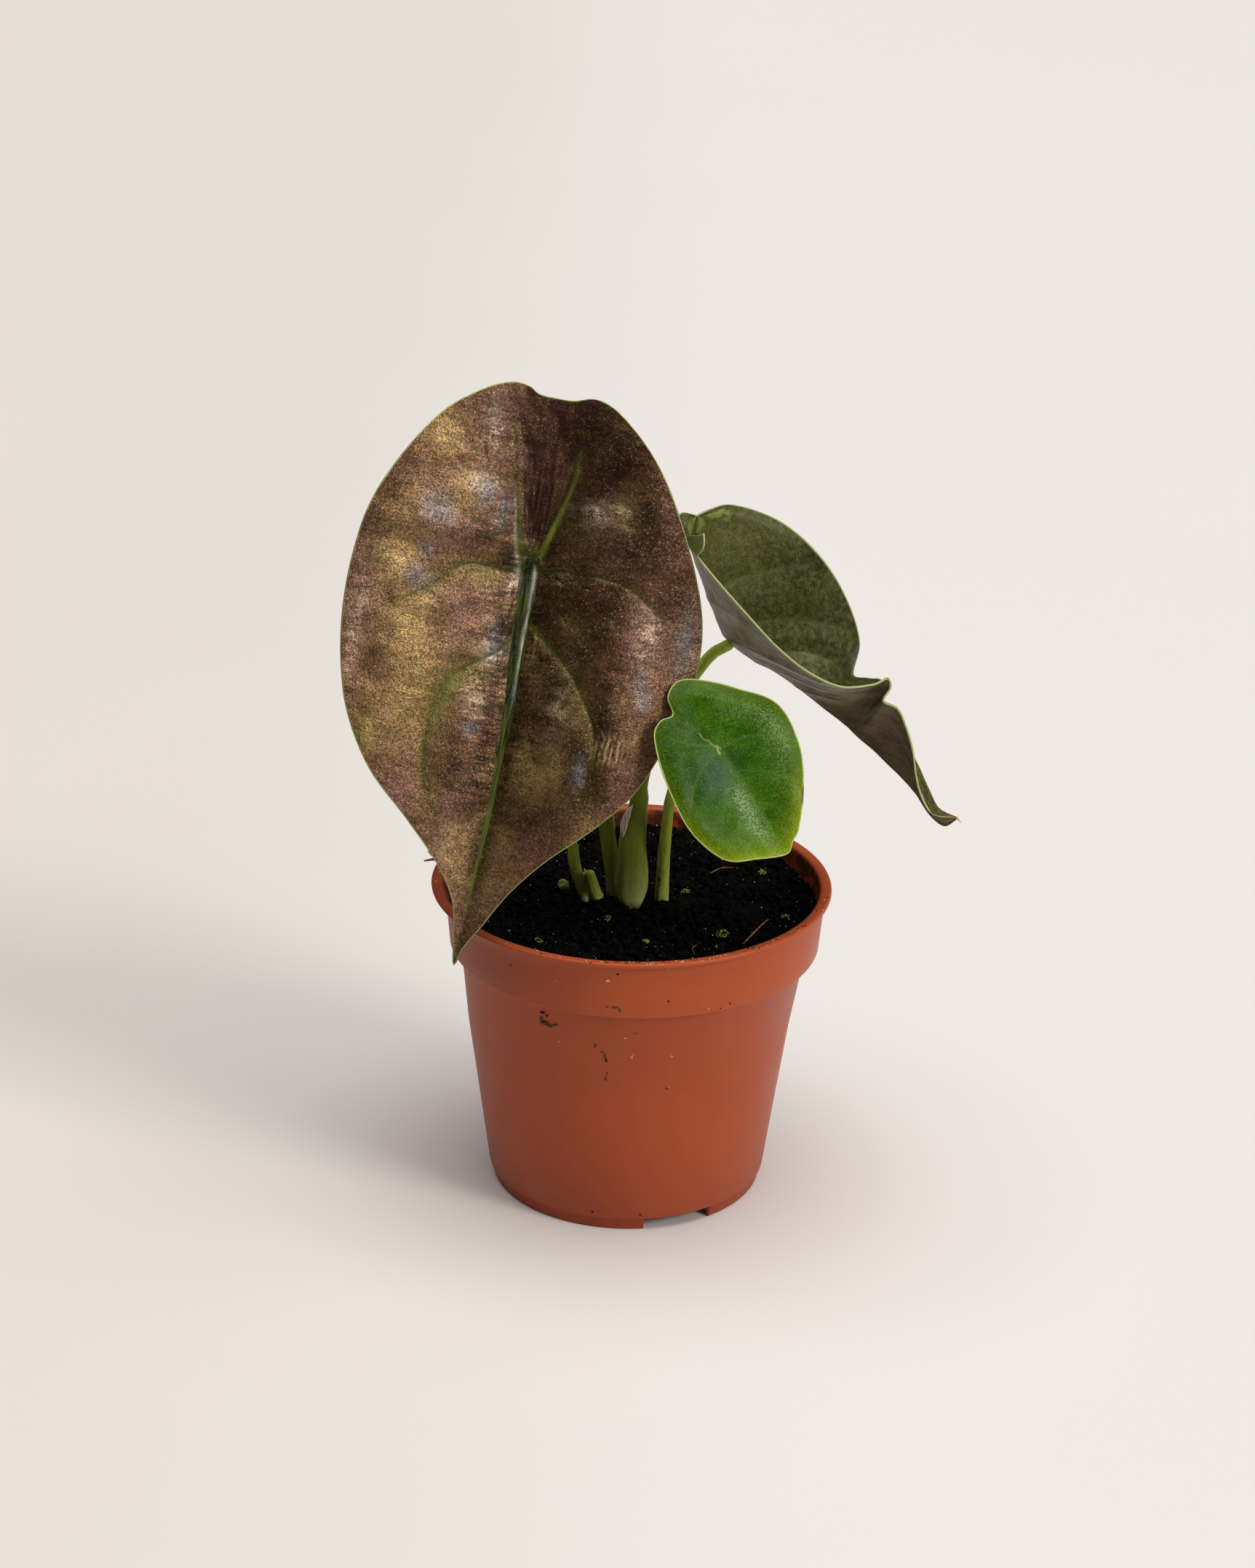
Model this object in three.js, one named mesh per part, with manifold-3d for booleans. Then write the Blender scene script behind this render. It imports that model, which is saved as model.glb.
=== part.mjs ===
// A potted alocasia cuprea: a terracotta nursery pot of peat, and a young plant with three peltate leaves.
// Millimetres, +Z up, standing on z = 0. The plant is seen from the front, looking along +Y.
import * as THREE from 'three';
import { mergeVertices } from 'three/addons/utils/BufferGeometryUtils.js';
import { ParametricGeometry } from 'three/addons/geometries/ParametricGeometry.js';
import Module from 'manifold-3d';

const wasm = await Module();
wasm.setup();

// Clearances and facets.
const GAP = 0.3;
const HOLE_CLEARANCE = 0.4;
const ROUND = 48;

// The pot, a thin moulding with a turned-out lip, a collar, a plain taper and a foot ring.
const POT = {
  height: 96.4,
  lipRadius: 60,
  lipHeight: 1.3,
  collarTopRadius: 57.3,
  collarFootRadius: 55.6,
  collarFootHeight: 77.7,
  bodyTopRadius: 52.1,
  bodyTopHeight: 76.2,
  bodyFootRadius: 42.4,
  stepThickness: 1.1,
  footRadius: 41.1,
  footHeight: 4,
  footWidth: 2,
  floorThickness: 1.6,
  wall: 1.3,
};
const FOOT_NOTCH = { count: 3, first: -67, width: 30, height: 3.5 };
const DRAIN_HOLE = { count: 6, circle: 27, radius: 3 };

// The peat, filled to a few millimetres under the lip and higher at the back.
const SOIL_LEVEL = 88.4;
const SOIL_RINGS = 9;

// The rootstock under the peat, a squat corm with fat roots.
const CORM = { x: -2, y: 1, top: 82, bottom: 58, radius: 13 };
const ROOTS = { count: 7, length: 46, radius: 1.6, sides: 6 };

// Blades are leathery and thin.
const BLADE_THICKNESS = 0.9;

// A leaf lies in its own frame: x runs from the petiole's joint to the tip, y to the right, and z out of the
// upper face. Azimuth turns the face from the front to +X, elevation lifts it, and turn swings the tip.
const LARGE_LEAF = {
  joint: [-29.9, -8, 199.8],
  azimuth: 5,
  elevation: 21,
  turn: -11.7,
  // The margin, from the tip round the left side, over the notch and back along the right side.
  outline: [
    [119, 0], [112, -1.6], [101, -4], [91, -10.5], [80, -21.5], [68, -34.5], [54, -43.5], [40, -48.2],
    [25, -50.6], [10, -50.8], [-6, -48.6], [-22, -42], [-36, -33], [-44.8, -22.6], [-48, -15.6],
    [-47.9, -10.6], [-46.2, -7.4], [-46, -2], [-46.3, 3], [-47.8, 9], [-44.5, 16.5], [-34, 27.7],
    [-20.5, 37.2], [-1, 47.5], [14, 51.8], [30, 51.6], [45, 47.3], [61, 40.6], [73.3, 30.7], [84.3, 19.8],
    [95.2, 11.5], [107, 5.2], [114, 1.6],
  ],
  // The veins that sink between the swollen panels.
  veins: [
    [[0, 0], [119, 0]],
    [[0, 0], [-9, -5], [-18, -7.5], [-34, -11]],
    [[0, 0], [-9, 4], [-20, 6], [-34, 8.5]],
    [[2, 0], [5, -10], [8, -22], [17, -40]],
    [[0, 0], [-2, -11], [-8, -22], [-11, -38]],
    [[2, 0], [2, 15], [6, 29], [18, 43]],
    [[17, 0], [28, 14], [42, 24], [62, 29]],
    [[22, 0], [34, -11], [48, -20], [68, -23]],
    [[50, 0], [62, 9], [78, 13]],
    [[52, 0], [64, -8], [80, -11]],
  ],
  rings: 12,
  spokes: 76,
};
const LARGE_LEAF_FOLD = {
  left: { rise: 12, reach: 28, droop: 3 },
  right: { rise: 8, reach: 20, droop: 5.5 },
  arch: 7,
  panel: 1.6,
  panelReach: 6.5,
};

const YOUNG_LEAF = {
  joint: [23.7, -32, 152.7],
  azimuth: 8,
  elevation: 32,
  turn: 30,
  outline: [
    [36.5, 0.4], [33.4, -7.7], [28.3, -16.4], [15.9, -20.4], [0, -18.5], [-11.4, -14.5], [-14.6, -10.4],
    [-14.4, -6.1], [-19.6, -4.3], [-21.9, 0.8], [-18.6, 6.8], [-10.8, 14.2], [-1, 21.3], [11.4, 20.4],
    [22.4, 15], [32, 7.4], [34.3, 3.9],
  ],
  veins: [
    [[0, 0], [36.3, 0]],
    [[0, 0], [-14.5, -5.5]],
  ],
  rings: 7,
  spokes: 40,
};
const YOUNG_LEAF_FOLD = {
  left: { rise: 2, reach: 6, droop: 2.5 },
  right: { rise: 2, reach: 6, droop: 2.5 },
  arch: 3,
  panel: 0.7,
  panelReach: 4,
};

// The folded leaf stands open like a shell. Three lines shape it, each from the notch at its base to the tip:
// the keel along the midrib, and the far and near margins.
const FOLDED_LEAF = {
  joint: [27.6, 4, 170.7],
  azimuth: 0,
  elevation: 22,
  turn: 52,
  keel: [
    [-31, 22, 15], [-26.5, 14, 13], [-14, 4.6, 5], [-0.3, -2.1, -1.5], [18, 1, -2.5], [36.5, 1, -1],
    [55.5, 1, 0], [70, 0, 0], [78, -2.2, 0], [82.5, -1.8, 0], [83.6, 2.7, 0],
  ],
  farMargin: [
    [-31, 22, 15], [-29, 26.6, 10], [-26, 31, 6], [-12, 37, 0], [3, 37, -2], [16.5, 33, -6], [29, 25.5, -14],
    [34.5, 16.8, -21], [38.6, 19, -19], [42, 20.5, -14], [44.5, 13.5, -12], [52, 13, -9], [63, 8.5, -5],
    [72, 4, -3], [78, 1.5, -1], [83.6, 2.7, 0],
  ],
  nearMargin: [
    [-31, 22, 15], [-35, 19.5, 16], [-34, 16, 18], [-29.3, 14, 19.5], [-22, 11.8, 24], [-11, 9.4, 28],
    [0, 7.5, 31], [11.5, 5.8, 33], [22, 6, 32.5], [32, 8.8, 31], [39, 15.5, 26], [41.5, 20, 20],
    [43.5, 18.5, 18.5], [44.2, 14.2, 19], [49, 15.2, 16], [54.6, 12.8, 13], [61, 8.5, 10], [66, 4.2, 6],
    [70, 1.5, 3], [77, -1.2, 1], [83.6, 2.7, 0],
  ],
  valley: 0.12,
  rows: 34,
  columns: 14,
};

// Stems are given by the middle line from the rootstock up, and by their radius along it.
const STEM_SIDES = 10;
const STEM_FOOT = CORM.top + GAP;

const degrees = THREE.MathUtils.degToRad;
const vectors = (points) => points.map((point) => new THREE.Vector3(...point));

// Keeps positions only, joins equal corners and drops the triangles that shrink to a line.
function welded(geometry) {
  geometry.deleteAttribute('normal');
  geometry.deleteAttribute('uv');
  const merged = mergeVertices(geometry, 1e-4);
  const index = merged.index.array;
  const kept = [];
  for (let i = 0; i < index.length; i += 3) {
    const [a, b, c] = [index[i], index[i + 1], index[i + 2]];
    if (a !== b && b !== c && c !== a) {
      kept.push(a, b, c);
    }
  }
  merged.setIndex(kept);
  return merged;
}

function toSolid(geometry) {
  const closed = welded(geometry);
  return new wasm.Manifold(new wasm.Mesh({
    numProp: 3,
    vertProperties: new Float32Array(closed.attributes.position.array),
    triVerts: new Uint32Array(closed.index.array),
  }));
}

function toGeometry(solid) {
  const { vertProperties, triVerts } = solid.getMesh();
  const geometry = new THREE.BufferGeometry();
  geometry.setAttribute('position', new THREE.BufferAttribute(vertProperties, 3));
  geometry.setIndex(new THREE.BufferAttribute(triVerts, 1));
  return geometry;
}

function part(name, geometry, color, roughness) {
  const mesh = new THREE.Mesh(geometry, new THREE.MeshStandardMaterial({ color, roughness, metalness: 0 }));
  mesh.name = name;
  return mesh;
}

// Spins a profile of [radius, height] points round the vertical axis.
function turned(profile, facets = ROUND) {
  const geometry = new THREE.LatheGeometry(profile.map(([r, z]) => new THREE.Vector2(r, z)), facets);
  return geometry.rotateX(Math.PI / 2);
}

// The pot's inner wall, from the floor up to the lip.
function innerWall(inset) {
  const floor = POT.footHeight + POT.floorThickness;
  const slope = (POT.bodyTopRadius - POT.bodyFootRadius) / (POT.bodyTopHeight - POT.footHeight);
  return [
    [POT.bodyFootRadius + slope * POT.floorThickness - POT.wall - inset, floor + inset],
    [POT.bodyTopRadius - POT.wall - inset, POT.bodyTopHeight + POT.stepThickness + inset],
    [POT.collarFootRadius - POT.wall - inset, POT.collarFootHeight + POT.stepThickness + inset],
    [POT.collarTopRadius - POT.wall - inset, POT.height - 2.2],
  ];
}

function potGeometry() {
  const lipUnder = POT.height - POT.lipHeight;
  const floor = POT.footHeight + POT.floorThickness;
  const outside = [
    [0, POT.footHeight],
    [POT.footRadius - POT.footWidth, POT.footHeight],
    [POT.footRadius - POT.footWidth, 0],
    [POT.footRadius, 0],
    [POT.footRadius + 0.3, POT.footHeight - 0.3],
    [POT.bodyFootRadius, POT.footHeight + 0.2],
    [POT.bodyTopRadius, POT.bodyTopHeight],
    [POT.collarFootRadius - 0.4, POT.collarFootHeight - 0.5],
    [POT.collarFootRadius, POT.collarFootHeight],
    [POT.collarTopRadius, lipUnder - 0.6],
    [POT.collarTopRadius + 1.2, lipUnder],
    [POT.lipRadius - 0.4, lipUnder],
    [POT.lipRadius, lipUnder + 0.4],
    [POT.lipRadius, POT.height - 0.4],
    [POT.lipRadius - 0.4, POT.height],
    [POT.lipRadius - 2.1, POT.height],
    [POT.lipRadius - 3.6, POT.height - 0.7],
  ];
  let pot = toSolid(turned([...outside, ...innerWall(0).reverse(), [0, floor]]));

  const sector = new THREE.Shape();
  const half = degrees(FOOT_NOTCH.width / 2);
  sector.absarc(0, 0, POT.bodyFootRadius + 3, -half, half, false);
  sector.absarc(0, 0, POT.footRadius - POT.footWidth - 2, half, -half, true);
  const cut = { depth: FOOT_NOTCH.height + 1, bevelEnabled: false, curveSegments: 3 };
  const notch = new THREE.ExtrudeGeometry(sector, cut);
  notch.translate(0, 0, -1);
  for (let i = 0; i < FOOT_NOTCH.count; i++) {
    const turn = degrees(FOOT_NOTCH.first + i * 360 / FOOT_NOTCH.count);
    pot = pot.subtract(toSolid(notch.clone().rotateZ(turn)));
  }
  const drain = new THREE.CylinderGeometry(DRAIN_HOLE.radius, DRAIN_HOLE.radius, 8, 12).rotateX(Math.PI / 2);
  for (let i = 0; i < DRAIN_HOLE.count; i++) {
    const turn = 2 * Math.PI * i / DRAIN_HOLE.count;
    const [x, y] = [DRAIN_HOLE.circle * Math.cos(turn), DRAIN_HOLE.circle * Math.sin(turn)];
    pot = pot.subtract(toSolid(drain.clone().translate(x, y, floor)));
  }
  return toGeometry(pot);
}

// The lumpy surface of the peat: higher at the back and round the stems.
function soilHeight(x, y) {
  const back = 2.4 * THREE.MathUtils.smoothstep(y, 5, 55);
  const mound = 1.1 * Math.exp(-(x * x + y * y) / 260);
  const lumps = 0.4 * Math.sin(0.31 * x + 1) * Math.sin(0.27 * y) + 0.3 * Math.sin(0.61 * x - 0.43 * y);
  return SOIL_LEVEL + back + mound + lumps;
}

function soilGeometry(holes) {
  const wall = innerWall(GAP).slice(0, 3);
  const [topRadius, topZ] = innerWall(GAP)[3];
  const share = (SOIL_LEVEL - POT.collarFootHeight) / (topZ - POT.collarFootHeight);
  const edge = wall[2][0] + (topRadius - wall[2][0]) * share;
  const top = [];
  for (let i = SOIL_RINGS; i >= 0; i--) {
    top.push([edge * i / SOIL_RINGS, SOIL_LEVEL]);
  }
  const geometry = turned([[0, wall[0][1]], ...wall, ...top]);
  const position = geometry.attributes.position;
  for (let i = 0; i < position.count; i++) {
    if (position.getZ(i) > SOIL_LEVEL - 0.1) {
      position.setZ(i, soilHeight(position.getX(i), position.getY(i)));
    }
  }
  return toGeometry(holes.reduce((soil, hole) => soil.subtract(hole), toSolid(geometry)));
}

// A tapering stem: a round tube along the line, with each ring then scaled to the radius there.
function stemSolid({ line, radius, steps, flare, sides = STEM_SIDES }, clearance = 0) {
  const path = new THREE.CatmullRomCurve3(vectors(line));
  const section = new THREE.Shape().absarc(0, 0, 1, 0, 2 * Math.PI, false);
  const geometry = new THREE.ExtrudeGeometry(section, { steps, extrudePath: path, curveSegments: sides / 2 });
  const radii = new THREE.CatmullRomCurve3(radius.map((r) => new THREE.Vector3(r, 0, 0)));
  const centres = path.getSpacedPoints(steps);
  const position = geometry.attributes.position;
  const corner = new THREE.Vector3();
  for (let i = 0; i < position.count; i++) {
    corner.fromBufferAttribute(position, i);
    const distances = centres.map((centre) => Math.abs(centre.distanceTo(corner) - 1));
    const ring = distances.indexOf(Math.min(...distances));
    const share = ring / steps;
    corner.sub(centres[ring]).multiplyScalar(radii.getPoint(share).x + clearance);
    if (flare) {
      corner.x *= 1 + flare.width * Math.exp(-(((share - flare.at) / flare.reach) ** 2));
    }
    corner.add(centres[ring]);
    position.setXYZ(i, corner.x, corner.y, corner.z - (ring === 0 ? 2 * clearance : 0));
  }
  return toSolid(geometry);
}

// A blade with both faces split alike: the middle surface, moved half the thickness each way, and its edge.
function bladeGeometry(middle, columns, rows) {
  const sheet = welded(new ParametricGeometry(middle, columns, rows));
  sheet.computeVertexNormals();
  const { position, normal } = sheet.attributes;
  const corners = [];
  for (const side of [0.5, -0.5]) {
    for (let i = 0; i < position.count; i++) {
      const shift = new THREE.Vector3().fromBufferAttribute(normal, i).multiplyScalar(side * BLADE_THICKNESS);
      corners.push(...new THREE.Vector3().fromBufferAttribute(position, i).add(shift));
    }
  }
  const index = Array.from(sheet.index.array);
  const edges = new Set();
  for (let i = 0; i < index.length; i += 3) {
    for (let k = 0; k < 3; k++) {
      edges.add(`${index[i + k]} ${index[i + (k + 1) % 3]}`);
    }
  }
  const under = position.count;
  const triangles = [...index];
  for (let i = 0; i < index.length; i += 3) {
    triangles.push(index[i] + under, index[i + 2] + under, index[i + 1] + under);
  }
  for (const edge of edges) {
    const [a, b] = edge.split(' ').map(Number);
    if (!edges.has(`${b} ${a}`)) {
      triangles.push(b, a, a + under, b, a + under, b + under);
    }
  }
  const blade = new THREE.BufferGeometry();
  blade.setAttribute('position', new THREE.Float32BufferAttribute(corners, 3));
  blade.setIndex(triangles);
  return blade;
}

function distanceToVeins(veins, x, y) {
  const point = new THREE.Vector3(x, y, 0);
  const nearest = new THREE.Vector3();
  let distance = Infinity;
  for (const vein of veins) {
    for (let i = 1; i < vein.length; i++) {
      const piece = new THREE.Line3(new THREE.Vector3(...vein[i - 1], 0), new THREE.Vector3(...vein[i], 0));
      piece.closestPointToPoint(point, true, nearest);
      distance = Math.min(distance, nearest.distanceTo(point));
    }
  }
  return distance;
}

// A peltate blade: spokes from the petiole's joint to the margin. It folds up from the midrib, droops at its
// sides, arches along its length and swells between the veins.
function peltateGeometry(leaf, fold) {
  const corners = leaf.outline.map(([x, y]) => [x, y, 0]);
  const margin = new THREE.CatmullRomCurve3(vectors(corners), true, 'catmullrom');
  const length = leaf.outline[0][0];
  const width = Math.max(...leaf.outline.map(([, y]) => y));
  const middle = (turn, reach, target) => {
    target.copy(margin.getPointAt(turn)).multiplyScalar(reach);
    const { x, y } = target;
    const half = y < 0 ? fold.left : fold.right;
    const rise = half.rise * (1 - Math.exp(-Math.abs(y) / half.reach));
    const swell = fold.panel * (1 - Math.exp(-((distanceToVeins(leaf.veins, x, y) / fold.panelReach) ** 2)));
    target.z = rise + swell - half.droop * Math.abs(y / width) ** 3 - fold.arch * (x / length) ** 2;
  };
  return bladeGeometry(middle, leaf.spokes, leaf.rings);
}

// The folded blade: cross lines from the far margin through a rounded valley at the keel to the near margin.
function foldedGeometry(leaf) {
  const guides = [leaf.keel, leaf.farMargin, leaf.nearMargin];
  const lines = guides.map((guide) => new THREE.CatmullRomCurve3(vectors(guide)));
  const most = Math.hypot(1, leaf.valley) + 1;
  const middle = (across, along, target) => {
    const [keel, far, near] = lines.map((line) => line.getPointAt(along));
    const side = 2 * across - 1;
    const hill = Math.hypot(side, leaf.valley);
    target.copy(keel);
    target.addScaledVector(far.sub(keel), (hill - side) / most);
    target.addScaledVector(near.sub(keel), (hill + side) / most);
  };
  return bladeGeometry(middle, leaf.columns, leaf.rows);
}

// Hangs a leaf by its joint: tip down and face to the front, then lifted, turned and swung.
function hang(mesh, leaf) {
  const [down, right, front] = vectors([[0, 0, -1], [1, 0, 0], [0, -1, 0]]);
  const pose = new THREE.Matrix4().makeTranslation(...leaf.joint);
  pose.multiply(new THREE.Matrix4().makeRotationZ(degrees(leaf.azimuth)));
  pose.multiply(new THREE.Matrix4().makeRotationX(-degrees(leaf.elevation)));
  pose.multiply(new THREE.Matrix4().makeBasis(down, right, front));
  pose.multiply(new THREE.Matrix4().makeRotationZ(degrees(leaf.turn)));
  mesh.applyMatrix4(pose);
  return mesh;
}

// The corm with its roots, which leave it by the golden angle and sink outward.
function rootstockSolid(clearance) {
  const shoulder = CORM.radius + clearance;
  const bulb = turned([
    [0, CORM.bottom - clearance],
    [shoulder * 0.5, CORM.bottom + 1.5 - clearance],
    [shoulder * 0.88, CORM.bottom + 7],
    [shoulder, CORM.bottom + 14],
    [shoulder * 0.95, CORM.top - 3],
    [shoulder * 0.86, CORM.top + clearance],
    [0, CORM.top + clearance],
  ], ROUND / 3).translate(CORM.x, CORM.y, 0);
  let stock = toSolid(bulb);
  for (let i = 0; i < ROOTS.count; i++) {
    const turn = 2.4 * i;
    const at = (reach, z) => [CORM.x + reach * Math.cos(turn), CORM.y + reach * Math.sin(turn), z];
    const depth = CORM.bottom - ROOTS.length * (0.6 + 0.06 * i);
    const root = stemSolid({
      line: [at(4, CORM.bottom + 8), at(16, CORM.bottom + 3), at(25, CORM.bottom - 14), at(27, depth)],
      radius: [ROOTS.radius, ROOTS.radius, 0.6 * ROOTS.radius, 0.4 * ROOTS.radius],
      steps: 8,
      sides: ROOTS.sides,
    }, clearance);
    stock = stock.add(root);
  }
  return stock;
}

// A point a little way behind a leaf's joint, where the petiole comes in square to the blade.
function behind(leaf, distance) {
  const marker = hang(new THREE.Object3D(), leaf);
  return marker.localToWorld(new THREE.Vector3(0, 0, -distance)).toArray();
}

const underBlade = BLADE_THICKNESS / 2 + GAP + 0.1;
const STEMS = {
  large_leaf_petiole: {
    line: [
      [-4.9, 3.6, STEM_FOOT], [-5, 3.6, 90], [-5.8, 3.4, 99], [-7.3, 3, 110], [-8.8, 2.7, 120],
      [-12.6, 3, 147], [-20, 4, 174], [-26.5, 4, 190], behind(LARGE_LEAF, 6), behind(LARGE_LEAF, underBlade),
    ],
    radius: [2, 2.6, 2.5, 2.1, 1.9, 1.8, 1.8],
    steps: 22,
    color: '#8aa552',
  },
  young_leaf_petiole: {
    line: [
      [8.6, 1.6, STEM_FOOT], [8.8, 1, 91], [9.7, -4, 108], [11, -10.5, 127], [14.5, -19, 141],
      behind(YOUNG_LEAF, 5), behind(YOUNG_LEAF, underBlade),
    ],
    radius: [2.1, 2.2, 2, 1.6, 1.3, 1.2],
    steps: 16,
    color: '#86a845',
  },
  old_petiole_stub: {
    line: [
      [-12.4, 1.4, STEM_FOOT], [-13.3, 0.9, 91], [-14.5, 0.4, 94.5], [-16.5, -0.2, 100.6], [-17.8, -0.8, 107],
      [-20.5, -1.5, 121],
    ],
    radius: [1.8, 1.9, 1.8, 1.7, 1.6],
    steps: 9,
    color: '#a3b878',
  },
  side_shoot: {
    line: [[-9.2, -1.4, STEM_FOOT], [-9.6, -1.7, 89.5], [-10.7, -2.5, 94.8], [-11.9, -3, 99.8]],
    radius: [1.4, 1.5, 1.4, 0.9],
    steps: 6,
    color: '#a9bd84',
  },
};
const FOLDED_PETIOLE = {
  line: [
    [1, -3, STEM_FOOT], [1, -3, 90], [0.4, -2.9, 102], [1.4, -2.4, 117], [3, -0.8, 131], [9, 3, 147],
    [17, 5.6, 159.5], [22.6, 6.8, 166.6], [26.1, 6.2, 169.1], [27.86, 4.22, 170.96],
  ],
  radius: [1.7, 2.1, 2.6, 2.3, 1.8, 1.5, 1.3, 1.25],
  steps: 30,
  flare: { at: 0.155, reach: 0.13, width: 1.45 },
};
const SHEATH_TIP = {
  line: [[-2, -3, 101], [-3, -3.1, 110], [-2.5, -3.2, 116], [-1.2, -3.2, 120.5]],
  radius: [1.6, 1.2, 0.9, 0.35],
  steps: 6,
};

const plant = new THREE.Group();
const holes = [rootstockSolid(HOLE_CLEARANCE), stemSolid(FOLDED_PETIOLE, HOLE_CLEARANCE)];
for (const [name, stem] of Object.entries(STEMS)) {
  plant.add(part(name, toGeometry(stemSolid(stem)), stem.color, 0.5));
  holes.push(stemSolid(stem, HOLE_CLEARANCE));
}
const sheathed = stemSolid(FOLDED_PETIOLE).add(stemSolid(SHEATH_TIP));
plant.add(part('folded_leaf_petiole', toGeometry(sheathed), '#93ad5c', 0.5));
plant.add(part('pot', potGeometry(), '#ad4a2c', 0.45));
plant.add(part('potting_soil', soilGeometry(holes), '#17130f', 0.95));
plant.add(part('corm_and_roots', toGeometry(rootstockSolid(0)), '#c9b48a', 0.8));
const blades = [
  ['large_leaf_blade', LARGE_LEAF, peltateGeometry(LARGE_LEAF, LARGE_LEAF_FOLD), '#5c4038'],
  ['young_leaf_blade', YOUNG_LEAF, peltateGeometry(YOUNG_LEAF, YOUNG_LEAF_FOLD), '#3f8a2c'],
  ['folded_leaf_blade', FOLDED_LEAF, foldedGeometry(FOLDED_LEAF), '#4c5433'],
];
for (const [name, leaf, geometry, color] of blades) {
  plant.add(hang(part(name, geometry, color, 0.4), leaf));
}

// The leaves reach out past the pot, so the origin is set under the middle of the whole outline.
const middle = new THREE.Box3().setFromObject(plant, true).getCenter(new THREE.Vector3());
plant.position.set(-middle.x, -middle.y, 0);

export default plant;
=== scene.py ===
# %% [markdown]
# A potted alocasia cuprea
#
# The subject is a young alocasia in a terracotta-coloured nursery pot of 12 cm. Three leaves rise from a corm
# in dark peat: a large copper-brown one that faces the viewer, a folded olive one behind it, and a fresh
# green one in front. The plain solids of the CAD model fix every place and size, and this lesson dresses them
# piece by piece. It starts by loading those solids, so that each new piece can be set where the CAD model
# says.

# %% Load the fixed frame
import math
import random

import bmesh
import bpy
import numpy as np
from mathutils import Matrix, Vector, noise


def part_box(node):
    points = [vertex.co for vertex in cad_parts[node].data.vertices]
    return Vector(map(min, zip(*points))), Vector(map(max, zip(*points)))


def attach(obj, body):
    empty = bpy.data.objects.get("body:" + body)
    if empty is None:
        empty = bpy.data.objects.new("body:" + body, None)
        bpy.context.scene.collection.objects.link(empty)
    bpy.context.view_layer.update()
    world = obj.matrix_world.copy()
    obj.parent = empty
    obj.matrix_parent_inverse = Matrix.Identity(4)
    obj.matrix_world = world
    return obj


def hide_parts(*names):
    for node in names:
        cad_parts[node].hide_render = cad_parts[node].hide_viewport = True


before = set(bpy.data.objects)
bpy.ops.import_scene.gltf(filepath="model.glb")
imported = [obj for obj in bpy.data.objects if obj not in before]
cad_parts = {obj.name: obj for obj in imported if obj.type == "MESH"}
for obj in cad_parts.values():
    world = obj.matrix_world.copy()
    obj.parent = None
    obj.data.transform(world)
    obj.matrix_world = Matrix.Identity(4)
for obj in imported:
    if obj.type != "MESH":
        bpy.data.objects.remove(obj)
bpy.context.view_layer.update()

pot_low, pot_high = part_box("pot")
pot_axis = (pot_low + pot_high) / 2
print("CAD nodes:", sorted(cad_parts))
print("pot axis at x, y =", round(pot_axis.x, 5), round(pot_axis.y, 5))

# %% [markdown]
# Working units
#
# The plant is easier to think about in millimetres round the pot's own axis, so every piece is shaped that
# way. One matrix then carries a finished shape into the frame, in metres. Each piece is handed over with the
# body that it rides on, the plain solid that it stands for, and the name of its finish.

# %% Hand a finished shape to the frame
MM = 0.001
TO_FRAME = Matrix.Translation((pot_axis.x, pot_axis.y, 0)) @ Matrix.Scale(MM, 4)


def in_scene(bm, name, *finishes):
    """Makes an object of a finished shape"""
    mesh = bpy.data.meshes.new(name)
    bm.to_mesh(mesh)
    bm.free()
    for finish in finishes:
        mesh.materials.append(finish)
    made = bpy.data.objects.new(name, mesh)
    bpy.context.scene.collection.objects.link(made)
    return made


def hand_over(bm, name, finish, replaces=(), smooth=True):
    """Moves a shape in millimetres into the frame and makes it a piece"""
    bm.transform(TO_FRAME)
    for face in bm.faces:
        face.smooth = smooth
    piece = in_scene(bm, name, finish)
    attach(piece, "root")
    if replaces:
        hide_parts(*replaces)
    print(name, "has", len(piece.data.polygons), "faces")


# %% [markdown]
# Smooth lines
#
# Margins, veins and stems are all drawn as a few points that a smooth line passes through. The line is a
# Catmull-Rom spline, which touches every point that it is given. It is then walked in equal steps, so that a
# mesh laid along it has even faces.

# %% A smooth line through a few points
FINE = 24


def smooth_line(points, steps, closed=False, knots=0.5):
    """Points at equal steps along a Catmull-Rom spline; knots 0.5 is centripetal and 0 is uniform"""
    points = [Vector(point) for point in points]
    if closed:
        ring = [points[-1], *points, points[0], points[1]]
    else:
        ring = [2 * points[0] - points[1], *points, 2 * points[-1] - points[-2]]
    dense = []
    for a, b, c, d in zip(ring, ring[1:], ring[2:], ring[3:]):
        ab, bc, cd = (max((q - p).length, 1e-4) ** knots for p, q in ((a, b), (b, c), (c, d)))
        leave = ((b - a) / ab - (c - a) / (ab + bc) + (c - b) / bc) * bc
        arrive = ((c - b) / bc - (d - b) / (bc + cd) + (d - c) / cd) * bc
        for k in range(FINE):
            s = k / FINE
            dense.append(b * (2 * s ** 3 - 3 * s ** 2 + 1) + leave * (s ** 3 - 2 * s ** 2 + s)
                         + c * (3 * s ** 2 - 2 * s ** 3) + arrive * (s ** 3 - s ** 2))
    dense.append(ring[-2])
    dense = np.array(dense)
    length = np.concatenate([[0], np.cumsum(np.linalg.norm(np.diff(dense, axis=0), axis=1))])
    at = np.linspace(0, length[-1], steps + 1)
    return np.stack([np.interp(at, length, column) for column in dense.T], axis=1)


print("a bent line of", len(smooth_line([(0, 0, 0), (1, 1, 0), (3, 0, 0)], 8)), "points")

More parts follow.
